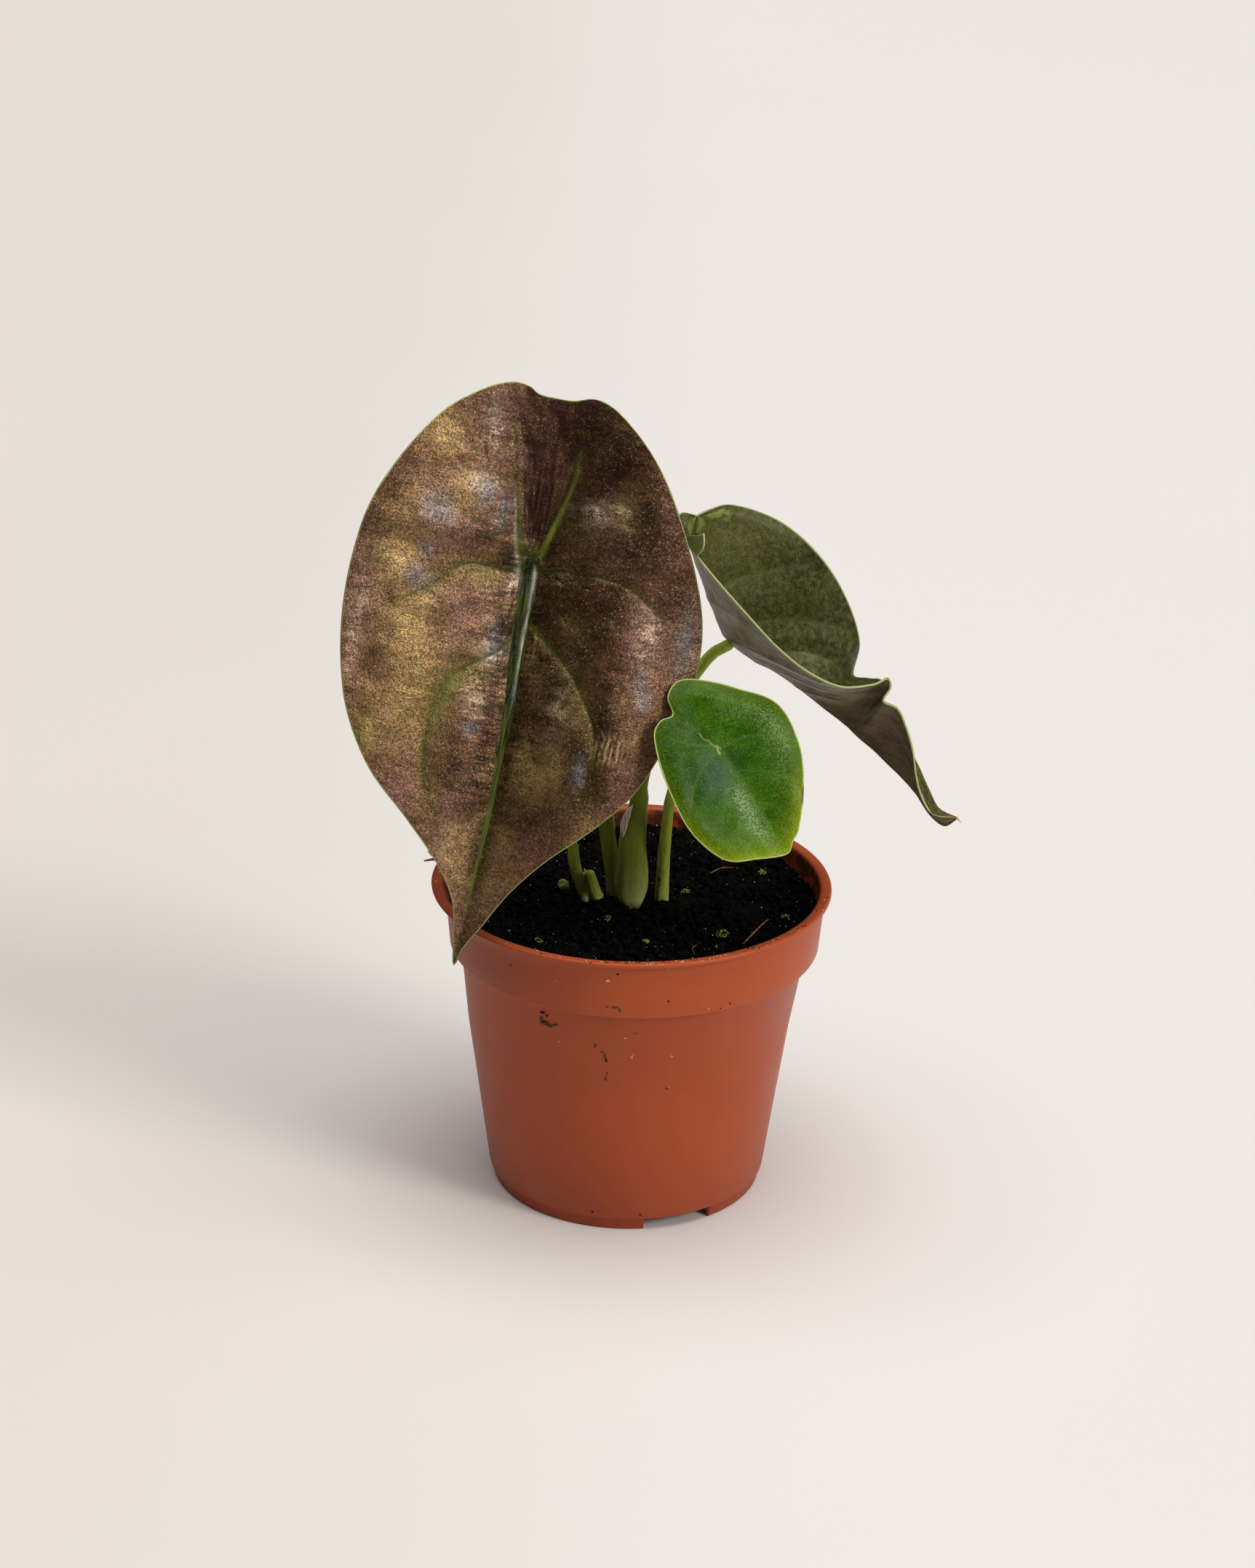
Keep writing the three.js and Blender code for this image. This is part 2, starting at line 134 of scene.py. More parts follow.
# %% [markdown]
# How a leaf hangs
#
# Each leaf is drawn flat in its own frame, with the petiole's joint at zero, the tip along x, the right side
# along y and the upper face along z. The same four values as in the CAD model then hang it by its joint:
# where the joint is, how far the face turns and lifts, and how far the tip swings.

# %% The pose of a leaf
DOWN_RIGHT_FRONT = Matrix(((0, 1, 0, 0), (0, 0, -1, 0), (-1, 0, 0, 0), (0, 0, 0, 1)))


def hanging(joint, azimuth, elevation, turn):
    """The matrix that hangs a leaf drawn in its own frame"""
    return (Matrix.Translation(joint)
            @ Matrix.Rotation(math.radians(azimuth), 4, "Z")
            @ Matrix.Rotation(-math.radians(elevation), 4, "X")
            @ DOWN_RIGHT_FRONT
            @ Matrix.Rotation(math.radians(turn), 4, "Z"))


LARGE_POSE = hanging((-29.9, -8, 199.8), 5, 21, -11.7)
YOUNG_POSE = hanging((23.7, -32, 152.7), 8, 32, 30)
FOLDED_POSE = hanging((27.6, 4, 170.7), 0, 22, 52)
print("the large leaf's tip hangs near", LARGE_POSE @ Vector((119, 0, -7)))

# %% [markdown]
# Veins as distances
#
# A vein is a groove in the blade and a line of another green, so the shape and the colour both need to know
# how near each point is to a vein. The helper walks all veins at once and gives a value that is 1 on the vein
# and fades over its width, which shrinks towards the vein's end. Kept as an attribute of the mesh, it also
# works in the material, without any picture.

# %% Soft edges, spots and unevenness
def bell(value, width):
    """1 where the value is 0, fading on both sides over a width"""
    return np.exp(-(value / width) ** 2)


def soft_step(value):
    """0 below 0, 1 above 1, and smooth between"""
    share = np.clip(value, 0, 1)
    return share * share * (3 - 2 * share)


def between(value, start, rise, end, fall):
    """1 between a start and an end, with soft flanks"""
    return soft_step((value - start) / rise) * soft_step((end - value) / fall)


def patches(places, spots, wobble=0.0):
    """For each place, how deep it lies in soft oval spots of (x, y, length, width)"""
    depth = np.zeros(len(places))
    for x, y, length, width in spots:
        depth = np.maximum(depth, bell(places[:, 0] - x, length) * bell(places[:, 1] - y, width))
    return np.clip(depth * (1 + wobble), 0, 1)


def ripple(places, size, depth=3, seed=0.0):
    """Smooth seeded unevenness of about a given size, from -1 to 1"""
    return np.array([noise.fractal(Vector((x / size + seed, y / size - seed, seed)), 1.0, 2.0, depth)
                     for x, y in places])


print("a third of the way up, a soft step reaches", round(float(soft_step(1 / 3)), 2))

# %% Closeness to lines
def closeness(places, lines, steps=40, fade=0.0):
    """For each place, how near it lies to the lines: 1 on a line, less over its width and towards its end"""
    nearest = np.zeros(len(places))
    for points, wide, narrow in lines:
        path = smooth_line([(x, y, 0) for x, y in points], steps)[:, :2]
        for k in range(steps):
            start, step = path[k], path[k + 1] - path[k]
            along = np.clip(((places - start) @ step) / (step @ step), 0, 1)
            gap = np.linalg.norm(places - start - along[:, None] * step, axis=1)
            width = wide + (narrow - wide) * (k + along) / steps
            nearest = np.maximum(nearest, bell(gap, width) * (1 - fade * (k + along) / steps))
    return nearest


def redrawn(lines, wide, narrow):
    """The same lines with other widths at their start and end"""
    return [(points, wide, narrow) for points, _, _ in lines]


print("a millimetre from a line:", closeness(np.array([(0, 1)]), [([(-5, 0), (5, 0)], 2, 2)]).round(2))

# %% [markdown]
# From a flat sheet to a blade
#
# A blade has two faces and a thin rim. A grid is created flat, its vertices are carried to their places, its
# doubles are merged and it is moved half a thickness along its normals. Solidify then gives it the other
# face, so both faces follow each other. The values that the material reads are written before that, up to
# four to a layer, and the lower face is marked with a value of its own.

# %% Thicken a sheet
MERGE = 0.001


def sheet_grid(columns, rows):
    """A flat grid, and its two shares from 0 to 1 for each vertex"""
    bm = bmesh.new()
    bmesh.ops.create_grid(bm, x_segments=columns, y_segments=rows, size=0.5)
    return bm, np.array([vert.co[:2] for vert in bm.verts]) + 0.5


def write_values(bm, values):
    """Writes lists of up to four values as the channels of colour layers"""
    for name, channels in values.items():
        layer = bm.verts.layers.float_color.new(name)
        unused = [0 * channels[0]] * (4 - len(channels))
        for vert, value in zip(bm.verts, np.stack([*channels, *unused], axis=1)):
            vert[layer] = value


def thicken(bm, places, values, thickness, relief=0.0):
    """Carries the grid to its places, writes its values and gives it a lower face"""
    write_values(bm, values)
    lower = bm.verts.layers.float.new("lower")
    swell = bm.verts.layers.float.new("relief")
    for vert, place, height in zip(bm.verts, places, np.broadcast_to(relief, len(places))):
        vert.co, vert[swell] = place, height
    bmesh.ops.remove_doubles(bm, verts=bm.verts, dist=2 * MERGE)
    bm.normal_update()
    if sum(face.normal.z * face.calc_area() for face in bm.faces) < 0:
        bmesh.ops.reverse_faces(bm, faces=bm.faces)
        bm.normal_update()
    for vert, normal in [(vert, vert.normal.copy()) for vert in bm.verts]:
        vert.co += normal * (thickness / 2 + vert[swell])
    upper = set(bm.verts)
    bmesh.ops.solidify(bm, geom=bm.faces[:], thickness=thickness)
    for vert in bm.verts:
        vert[lower] = 0.0 if vert in upper else 1.0
    bm.verts.layers.float.remove(bm.verts.layers.float["relief"])


# %% [markdown]
# Materials in few lines
#
# A material is a tree of nodes, and written out node by node it soon grows long. The small helpers below add
# a node, set it and plug its inputs in one line. They all work in the tree that is being built, which is
# always called tree. Colours are given as a screen shows them, from 0 to 255, and laid over each other in
# coats.

# %% Add and fill nodes
def fill(node, inputs):
    """Sets or plugs the inputs of a node in the tree at hand"""
    for key, value in inputs.items():
        if isinstance(value, bpy.types.NodeSocket):
            tree.links.new(value, node.inputs[key])
        else:
            node.inputs[key].default_value = value


def add(kind, inputs, **settings):
    """Adds a node to the tree at hand, sets its properties and fills its inputs"""
    node = tree.nodes.new("ShaderNode" + kind)
    for key, value in settings.items():
        setattr(node, key, value)
    fill(node, inputs)
    return node


def maths(operation, *numbers):
    """One step of arithmetic"""
    return add("Math", dict(enumerate(numbers)), operation=operation).outputs[0]


def times(first, second):
    """A product"""
    return maths("MULTIPLY", first, second)


def stretch(value, low, high, to_low=0.0, to_high=1.0):
    """Stretches a range of values to another range, with soft ends"""
    return add("MapRange", {0: value, 1: low, 2: high, 3: to_low, 4: to_high},
               interpolation_type="SMOOTHSTEP").outputs[0]


# %% Mix and shade colours
def srgb(red, green, blue):
    """A colour as a screen shows it, 0 to 255, as Blender's linear values"""
    linear = [((c / 255 + 0.055) / 1.055) ** 2.4 if c > 10 else c / 255 / 12.92 for c in (red, green, blue)]
    return (*linear, 1.0)


def blend(share, first, second, how="MIX"):
    """Mixes two colours"""
    return add("Mix", {0: share, 6: first, 7: second}, data_type="RGBA", blend_type=how).outputs[2]


def coats(tone, *layers):
    """Lays coats over a tone, each with its share of the surface, its strength and its colour"""
    for share, strength, colour in layers:
        tone = blend(times(share, strength), tone, srgb(*colour))
    return tone


def shaded(tone, share, dark, light):
    """Multiplies a tone by factors that go from dark to light with a share"""
    return blend(1.0, tone, blend(share, (*dark, 1.0), (*light, 1.0)), "MULTIPLY")


# %% Read places and values, and draw noise on them
def object_place():
    """The place on the object, in metres"""
    return add("TexCoord", {}).outputs["Object"]


def mapped(place, scale=(1.0, 1.0, 1.0), turn=(0.0, 0.0, 0.0)):
    """A place that is turned and stretched"""
    return add("Mapping", {"Vector": place, "Rotation": turn, "Scale": scale}).outputs[0]


def noise_at(place, scale, detail=2.0, roughness=0.5):
    """Soft noise, from about 0.2 to 0.8"""
    inputs = {"Vector": place, "Scale": scale, "Detail": detail, "Roughness": roughness}
    return add("TexNoise", inputs).outputs["Fac"]


def attribute(name):
    """The node that reads an attribute of the mesh"""
    return add("Attribute", {}, attribute_name=name, attribute_type="GEOMETRY")


def read(name):
    """The four channels of a colour attribute"""
    node = attribute(name)
    return (*add("SeparateColor", {"Color": node.outputs["Color"]}).outputs, node.outputs["Alpha"])


def bumped(height, strength, distance):
    """The normal of a surface that a height roughens"""
    return add("Bump", {"Height": height, "Strength": strength, "Distance": distance}).outputs["Normal"]


# %% Start a material or a node group
def material(name, **sockets):
    """A material with one Principled shader, its uniform values set on the shader's own sockets"""
    made = bpy.data.materials.new(name)
    made.use_nodes = True
    shader = made.node_tree.nodes["Principled BSDF"]
    for key, value in sockets.items():
        shader.inputs[key.replace("_", " ")].default_value = value
    return made, made.node_tree, shader


def group(name, inputs, outputs):
    """An empty node group with its sockets"""
    made = bpy.data.node_groups.new(name, "ShaderNodeTree")
    for side, sockets in (("INPUT", inputs), ("OUTPUT", outputs)):
        for socket, kind in sockets.items():
            made.interface.new_socket(name=socket, in_out=side, socket_type="NodeSocket" + kind)
    return made, made.nodes.new("NodeGroupInput"), made.nodes.new("NodeGroupOutput")


# %% [markdown]
# The skin of a leaf
#
# Leaf skin isn't smooth: tiny raised cells break up its shine, and the tone wanders from place to place. The
# same effect serves every blade, so it is a node group with its own inputs and outputs, built once.

# %% Leaf skin as a node group
tree, skin_in, skin_out = group("leaf_skin", {"Place": "Vector", "Grain": "Float"},
                                {"Tone": "Float", "Height": "Float", "Glint": "Float"})
leaf_skin, (skin_place, skin_grain) = tree, skin_in.outputs[:2]
grain = noise_at(skin_place, skin_grain, 4.0, 0.65)
cells = add("TexVoronoi", {"Vector": skin_place, "Scale": times(skin_grain, 1.6)})
cell_value = add("SeparateColor", {"Color": cells.outputs["Color"]}).outputs[0]
fill(skin_out, {"Tone": stretch(grain, 0.36, 0.64),
                "Height": maths("MULTIPLY_ADD", cells.outputs["Distance"], -0.6, grain),
                "Glint": stretch(cell_value, 0.86, 1.0)})


def blade_skin(grain):
    """The place on a blade, the mark of its lower face, and its skin's tone, height and glint"""
    place = object_place()
    cells = add("Group", {"Place": place, "Grain": grain}, node_tree=leaf_skin)
    return place, attribute("lower").outputs["Fac"], *cells.outputs


print("groups:", [made.name for made in bpy.data.node_groups])

# %% [markdown]
# The large leaf's shape
#
# The blade is peltate: its petiole joins it from behind, inside the margin. It folds up from the midrib,
# swells between the veins and sinks along them in sharp channels. A polar sheet suits it, because its spokes
# run out from the joint to the margin as the veins do. The margin is one closed smooth line through the
# outline's points.

# %% The large leaf's outline and veins
LARGE_OUTLINE = [
    (119, 0), (112, -1.6), (101, -4), (91, -10.5), (80, -21.5), (68, -34.5), (54, -43.5), (40, -48.2),
    (25, -50.6), (10, -50.8), (-6, -48.6), (-22, -42), (-36, -33), (-44.8, -22.6), (-48, -15.6),
    (-47.9, -10.6), (-46.2, -7.4), (-46, -2), (-46.3, 3), (-47.8, 9), (-44.5, 16.5), (-34, 27.7),
    (-20.5, 37.2), (-1, 47.5), (14, 51.8), (30, 51.6), (45, 47.3), (61, 40.6), (73.3, 30.7), (84.3, 19.8),
    (95.2, 11.5), (107, 5.2), (114, 1.6),
]
# Each vein: its points, then how wide its groove is at its start and at its end.
LARGE_VEINS = [
    ([(-2, 0), (20, 0), (45, 1.4), (75, 1.5), (100, 0.6), (118, 0)], 2.6, 0.7),
    ([(3, -2), (-3, -4.7), (-12, -6.5), (-21, -8.8), (-28, -10), (-36, -12.2)], 1.6, 0.6),
    ([(2, 1), (-8.4, 3.7), (-15.7, 5.6), (-23, 7), (-32, 7.4)], 1.6, 0.6),
    ([(4, -2), (4, -7.5), (4.8, -12), (5, -17.3), (7.5, -22), (12.2, -25.8), (16.2, -30.4), (21, -38)],
     1, 0.6),
    ([(3, 2), (1.8, 12.9), (2.3, 22.2), (4.9, 30.4), (10.9, 38.6)], 1, 0.6),
    ([(18, 2), (24.4, 9.6), (29.4, 15.2), (36, 20.5), (43, 24.7), (49.3, 26.5), (57, 26.5), (66, 26)],
     1.2, 0.5),
    ([(20, 0), (27.1, -4.4), (31.3, -9.8), (36, -15.2), (42, -18.8), (48.5, -20.9), (56, -21.3), (70, -19.3)],
     1.3, 0.6),
]
LARGE_FAINT_VEINS = [
    ([(4, -4.3), (-2.9, -11.9), (-6.9, -18.1), (-9.6, -24), (-9.9, -32)], 1.1, 0.7),
    ([(-16, -8), (-20.9, -13.9), (-21.5, -20.1), (-20.5, -26.8), (-17.9, -33)], 0.9, 0.6),
    ([(-11, 4.5), (-16.4, 9.7), (-19.6, 14.1), (-20.7, 20), (-17.9, 26)], 0.9, 0.6),
    ([(47, 2), (54.9, 9), (57, 12.8), (61, 15.5), (68, 16.6), (79, 17.3)], 0.9, 0.6),
    ([(52, 1), (60.5, -3), (64.5, -8), (69, -12)], 0.8, 0.6),
    ([(36, 1.4), (45, 7.5), (52, 13)], 0.8, 0.5),
    ([(66, 1.5), (74, 7), (82, 9.5)], 0.8, 0.5),
    ([(70, 1.5), (78, -5), (86, -7)], 0.8, 0.5),
    ([(10, -1), (16, -8), (21, -16), (25, -26)], 0.7, 0.5),
    ([(10, 1), (14, 10), (20, 20), (28, 30)], 0.7, 0.5),
]
print("the large leaf has", len(LARGE_VEINS), "main veins")

# %% [markdown]
# The height of the blade above its own plane is a sum of a few plain effects, and each can be read on the
# real leaf: the fold along the midrib, the swelling between veins, the narrow channel over each vein, fine
# folds across the steep flank by the midrib, the droop of the sides, the arch towards the tip, and a little
# unevenness.

# %% Lay the large leaf's sheet round its midrib
LARGE_SPOKES, LARGE_RINGS = 420, 84
MARGIN_STEPS = 1200


def polar_places(outline, shares):
    """Flat places for a polar sheet, with closer rings near the margin, and each place's way to the margin"""
    turn, out = shares.T
    reach = 0.4 * out + 0.6 * np.sin(out * math.pi / 2)
    margin = smooth_line([(x, y, 0) for x, y in outline], MARGIN_STEPS, closed=True, knots=0)[:, :2]
    steps = np.arange(MARGIN_STEPS + 1)
    edge = np.stack([np.interp(turn * MARGIN_STEPS, steps, column) for column in margin.T], axis=1)
    return edge * reach[:, None], (1 - reach) * np.linalg.norm(edge, axis=1)


def spine_gap(x, y):
    """How far a place is from the midrib, or above the joint from the valley between the basal veins"""
    above = soft_step(-x / 9)
    gap = np.abs(y + above * (1 - 0.04 * x)) - above * (2.4 - 0.2 * x)
    return 0.5 * (gap + np.sqrt(gap * gap + 1.4 + 12 * above))


large, shares = sheet_grid(LARGE_SPOKES, LARGE_RINGS)
flat, to_margin = polar_places(LARGE_OUTLINE, shares)
x, y = flat.T
left = y < 0
mid = y - np.interp(x, *zip(*LARGE_VEINS[0][0][1:]))
gap = spine_gap(x, mid)
rib_half = np.interp(x, [-8, -2, 3, 25, 60, 85, 100, 119], [0.4, 1.6, 2.9, 2.2, 1.1, 0.75, 0.5, 0.2])
rib = soft_step((rib_half + 0.3 - np.abs(mid)) / 0.6) * soft_step((x + 5) / 5)
beyond = 0.5 * (gap - rib_half + np.sqrt((gap - rib_half) ** 2 + 0.6))
print("the midrib is", round(2 * float(rib_half.max()), 1), "mm wide at the joint")

# %% Veins, folds and creases between them
basal = closeness(flat, redrawn(LARGE_VEINS[1:3], 1.3, 0.5), fade=0.7)
laterals = closeness(flat, LARGE_VEINS[3:], fade=0.7)
near_veins = closeness(flat, redrawn(LARGE_VEINS[1:], 4.6, 3.6), fade=0.55)
faint = closeness(flat, LARGE_FAINT_VEINS, fade=0.4)
near_faint = closeness(flat, redrawn(LARGE_FAINT_VEINS, 3.4, 3.4), fade=0.4)
flank = bell(beyond - 3.2, 3.4) * between(x, -4, 6, 68, 24)
folds = np.sin(x * 2.9 + 0.35 * beyond + 4.0 * ripple(flat, 6, 2)) * flank
valley = bell(y, 5 - 0.32 * np.minimum(x, 0)) * soft_step((-x - 2) / 6)
rays = ripple(np.stack([np.arctan2(y, 6 - x) * 26, np.hypot(x, y) / 9], axis=1), 1.0, 2, 15.0)
crumpled = patches(flat, [(50, 31, 4.5, 5)])
creases = crumpled * np.sin(y * 4.2 + 3.5 * ripple(flat, 2.2, 2, 5.0))
wrinkles = patches(flat, [(-27, -17, 11, 9)]) * ripple(flat, 2.6, 2, 12.0)
print("folds and creases reach over", int((flank + crumpled > 0.1).sum()), "vertices")

# %% Raise the large leaf
LARGE_LENGTH, LARGE_HALF_WIDTH = 119, 51.8
roof = np.sqrt(np.minimum(np.abs(mid), rib_half) ** 2 + 0.3) * soft_step((x + 5) / 5)
bend = 6 * np.log1p(np.exp((beyond - 24) / 6))
# Each line is one effect, in millimetres.
height = (np.where(left, 0.27 * beyond, 0.44 * beyond - 0.96 * bend)
          + np.where(left, 1.6, 2.3) * (1 - np.exp(-beyond / 2.6))
          - 0.4 * roof
          - np.where(left, 3.0, 0.0) * np.abs(y / LARGE_HALF_WIDTH) ** 4
          + 2.2 * (1 - bell(np.hypot(x, y), 15))
          + 1.4 * (1 - 0.85 * near_veins)
          + 0.6 * basal
          - 0.6 * laterals
          - 0.6 * near_faint
          + 0.24 * folds
          + 0.2 * rays * valley
          + 0.12 * creases
          + 0.35 * wrinkles
          + 0.6 * ripple(flat, 15, 2, 2.0) * soft_step(to_margin / 8)
          + 0.2 * ripple(flat, 5, 3, 9.0) * (1 - rib)
          + 0.07 * ripple(flat, 1.4, 2, 33.0) * (1 - rib)
          - 8.2 * (x / LARGE_LENGTH) ** 2)
large_places = np.stack([x, y, height], axis=1)
print("the large leaf is", round(float(np.ptp(height)), 1), "mm deep")

# %% [markdown]
# The copper leaf isn't one colour. Gold, plum, olive and blue-grey areas lie on a red-brown ground, and each
# is a soft spot drawn by its place in the leaf. Sheen spots are painted highlights and dark spots are painted
# shade. They are kept as colour attributes of the mesh, one channel for each tone or line, and the material
# breaks up their edges with noise.

# %% The spots of each tone
# Each spot: x, y, its length, its width.
GOLD_SPOTS = [
    (57, 16.5, 8, 5), (46, -28, 13, 8), (57, -35.6, 7, 3), (26, -31, 15, 9), (5, -38, 12, 8),
    (-29.7, -30.9, 6, 6), (84, -7, 10, 4), (-12.8, -23, 6, 6), (19.4, 15.5, 5, 4), (35.7, 32, 1.6, 0.9),
    (45.7, 37.7, 1.8, 0.9), (30, 7, 10, 4), (44, 18, 5, 4), (88, 5, 10, 4), (92, -4, 9, 4), (-18, 23, 7, 4),
]
PLUM_SPOTS = [
    (-1.5, -22.4, 5, 5), (20, -17, 9, 6), (-37, -17, 6, 6), (-31.7, -4, 12, 6), (-3, 25, 8, 9),
    (14, 36, 12, 9), (10.9, -46.7, 16, 4), (72.6, -25, 9, 6), (76.4, -9.7, 12, 5), (76, 13, 8, 6),
    (-9, 38, 14, 5), (58, 35, 12, 4), (-28, 20, 9, 6), (13, 33, 10, 8), (102, 0, 9, 4), (88, -9, 8, 4),
]
BLUE_SPOTS = [
    (34.1, 37.9, 3.4, 2.4), (29.2, 36, 4, 1.6), (51.2, -8.9, 2.2, 2.2), (57.7, 23.8, 4.5, 1.8),
    (3.6, -30.6, 2.2, 2), (12, -32, 3.8, 3), (12, -27.5, 1.6, 1.3), (-7.7, -29.7, 5, 5),
    (-11.3, -11.5, 5, 2.2), (16, 47, 9, 3), (26, -6.5, 5, 2), (-15.5, -17, 4, 3),
]
OLIVE_SPOTS = [
    (32, -10, 9, 6), (44, -21, 9, 5), (62, 9, 12, 5), (70.6, -16.6, 8, 5), (8.4, 16.4, 10, 12),
    (-35, 12, 8, 7), (8, -14, 5, 7), (92, 2, 14, 3), (-12, 7, 9, 5), (32, 18, 12, 5), (58, -38, 8, 3),
    (52, 5, 12, 4), (58, 27, 16, 8),
]
RED_SPOTS = [
    (-30, 22, 14, 12), (-12, 34, 14, 12), (-36, 1, 14, 7), (4, 40, 12, 8), (-12, 0, 16, 4), (8, 14, 12, 8),
    (28, 10, 16, 7), (-40, -14, 8, 9), (24, -5, 10, 4), (60, 30, 10, 8), (-6, -44, 16, 5),
    (16, 6, 18, 5), (-30, -2, 14, 6), (-16, -1, 12, 4), (-42, 4, 8, 14), (14, 17, 14, 12), (-20, 12, 12, 8),
    (-36, -19, 9, 9), (44, 14, 16, 8), (66, 8, 14, 8),
    (32, 14, 16, 9), (52, 26, 12, 9), (50, 8, 14, 6), (-38, -8, 9, 12), (70, 12, 12, 8),
]
# Painted highlights: each sheen spot paints a pale satin highlight where a panel catches the light.
SHEEN_SPOTS = [
    (43, -9, 5, 4), (27, -7.5, 5, 4), (41, 15, 7, 3), (-15.7, 15.6, 4, 7), (17.5, 36, 9, 3),
    (-34, -18, 5, 3), (-17.5, -18.5, 3.4, 4), (7, -4.9, 7, 1.3), (29, -46, 14, 2.4),
]
# Painted shade: each dark spot darkens the blade where it lies in shade, mostly on the right half and by the
# midrib.
PAINTED_SHADE_SPOTS = [
    (-4, 5, 6, 4), (-6, 25, 9, 12), (-31, 19, 10, 9), (20, 18, 10, 8), (41, 27, 9, 5), (42, 5, 10, 2.6),
    (62, -12, 9, 4), (70, -7, 7, 3), (-4, -16, 5, 7), (14, 7, 10, 4), (60, 23, 8, 4), (28, 9, 14, 5),
    (3, 12, 9, 8), (-16, 30, 12, 8), (8, 24, 10, 8), (30, 27, 8, 6), (52, 22, 9, 5), (-38, 10, 8, 10),
    (2, -8, 6, 3), (54, -4, 16, 2.4), (68, -5, 9, 4), (86, 1, 10, 3),
]
print("gold lies in", len(GOLD_SPOTS), "spots and dark tones in", len(PAINTED_SHADE_SPOTS))

# %% Measure the lines and lights
GREEN_WIDTHS = (1.5, 1.3, 0.6, 0.5, 0.9, 0.9)
VEIN_GREEN = [(points, wide, 0.3) for (points, _, _), wide in zip(LARGE_VEINS[1:], GREEN_WIDTHS)]
SOFT_STROKE = [(38, -15.5), (48, -18.5), (57, -20), (68, -20.5)]
# The shoulder points carry a painted highlight beside the left basal vein.
SHOULDER_HIGHLIGHT = [(8, -3.6), (3, -4.2), (-3, -6), (-12, -7.8), (-20, -9.6)]
pleated = bell(beyond, np.where(left, 9, 4)) * between(x, -14, 10, 90, 30) * (1 - rib)
rib_tint = rib * (1 - 0.9 * soft_step((x - 94) / 16))
gloss = bell(beyond, 3) * between(x, -12, 8, 80, 20)
green = np.maximum(rib_tint, closeness(flat, VEIN_GREEN, fade=0.92))
glow = closeness(flat, redrawn(LARGE_VEINS, 2.7, 1.3), fade=0.3)
core = closeness(flat, redrawn(LARGE_VEINS[3:], 0.5, 0.28), fade=0.4)
bright_vein = np.maximum(closeness(flat, redrawn(LARGE_VEINS[2:3], 1.1, 0.5), fade=0.6),
                         0.5 * closeness(flat, [(SOFT_STROKE, 2.4, 1.4)], fade=0.9))
# Painted highlight: a pale line along the right flank of the midrib, broken by noise, joined by the one on
# the shoulder.
rib_highlight_offset = np.interp(x, [0, 6, 19, 30, 45], [0.6, 1.2, 1.3, 0.9, 0.5])
rib_highlight = bell(mid - rib_highlight_offset, 0.42) * between(x, 1, 4, 48, 22)
lit = np.maximum(rib_highlight, closeness(flat, [(SHOULDER_HIGHLIGHT, 0.6, 0.35)], fade=0.9))
lit *= np.clip(0.75 + 0.6 * ripple(flat, 1.6, 2, 17.0), 0, 1)
streak = 0.8 * ripple(np.stack([x / 9, mid * 1.6], axis=1), 1.0, 3, 21.0)
streak = np.clip(0.2 + streak + 0.65 * soft_step((x - 34) / 50), 0, 1)
bright_side = np.interp(x, [40, 56, 62, 67, 80], [5, 11, 14, 17, 20]) - y
bright_patch = soft_step(bright_side / 1.2) * soft_step((y - 4) / 3) * bell(x - 58, 10)
print("drew", len(VEIN_GREEN), "green veins")

# %% Write the large leaf's values and thicken it
BLADE_THICKNESS = 0.6
drift = 0.35 * ripple(flat, 6, 4, 4.0)
golden = np.maximum(patches(flat, GOLD_SPOTS, drift), 0.9 * bright_patch)
sheen = patches(flat, SHEEN_SPOTS, 0.5 * ripple(flat, 2.4, 3, 27.0))
# The fourth vein channel marks the crests of the crumpled creases, which get a painted highlight.
thicken(large, large_places, {
    "veins": [green, faint, np.exp(-to_margin / 0.45), crumpled * np.clip(creases * 1.6, 0, 1)],
    "tones": [golden, patches(flat, PLUM_SPOTS, -drift), patches(flat, BLUE_SPOTS),
              patches(flat, OLIVE_SPOTS, drift)],
    # The fourth shade channel is the valley's dark wine tone, and also painted shade above the joint.
    "shades": [patches(flat, RED_SPOTS, -drift), glow, np.maximum(rib_tint, 0.6 * gloss),
               valley * (0.7 + 0.9 * rays)],
    "lines": [core, lit, bright_vein, streak],
    "light": [sheen, patches(flat, PAINTED_SHADE_SPOTS, drift), pleated],
}, BLADE_THICKNESS)
large.transform(LARGE_POSE)
print("tones laid on", len(large.verts), "vertices")

# %% [markdown]
# The finish of the copper leaf is a half-metallic satin. Cells of the skin break the shine into fine glints,
# and painted glints brighten some of them. The vein channels are dark green and hardly metallic, and a
# hair-thin pale line runs round the margin. Under the leaf the skin is a dull wine colour. One material holds
# both faces, and the value on the lower face chooses. Fine pleats and fibres run from the midrib to the
# sides, so their noise is drawn out across the leaf, and the pleats are striped as painted light and shade.

# %% Read the copper leaf's values
copper, tree, shader = material("copper_leaf", IOR=1.45, Specular_IOR_Level=0.3, Coat_Weight=0.04,
                                Coat_Roughness=0.25)
place, below, skin_tone, skin_height, glint = blade_skin(1600.0)
vein, crease, rim, crease_highlight = read("veins")
gold, plum, blue, olive = read("tones")
red, vein_glow, channel, throat_tone_and_shade = read("shades")
dark_core, lit_line, bright_line, streaky = read("lines")
sheen, deep, pleat_share, _ = read("light")
drifts = noise_at(place, 110.0, 5.0, 0.6)
mottle = noise_at(place, 620.0, 4.0, 0.7)
flakes = noise_at(place, 1100.0)
leaf_place = mapped(place, turn=LARGE_POSE.to_3x3().inverted().to_euler())
pleats = noise_at(mapped(leaf_place, (720.0, 120.0, 120.0), (0.0, 0.0, 0.35)), 1.0, 3.0)
fibres = noise_at(mapped(leaf_place, (420.0, 150.0, 150.0)), 1.0, 5.0, 0.65)
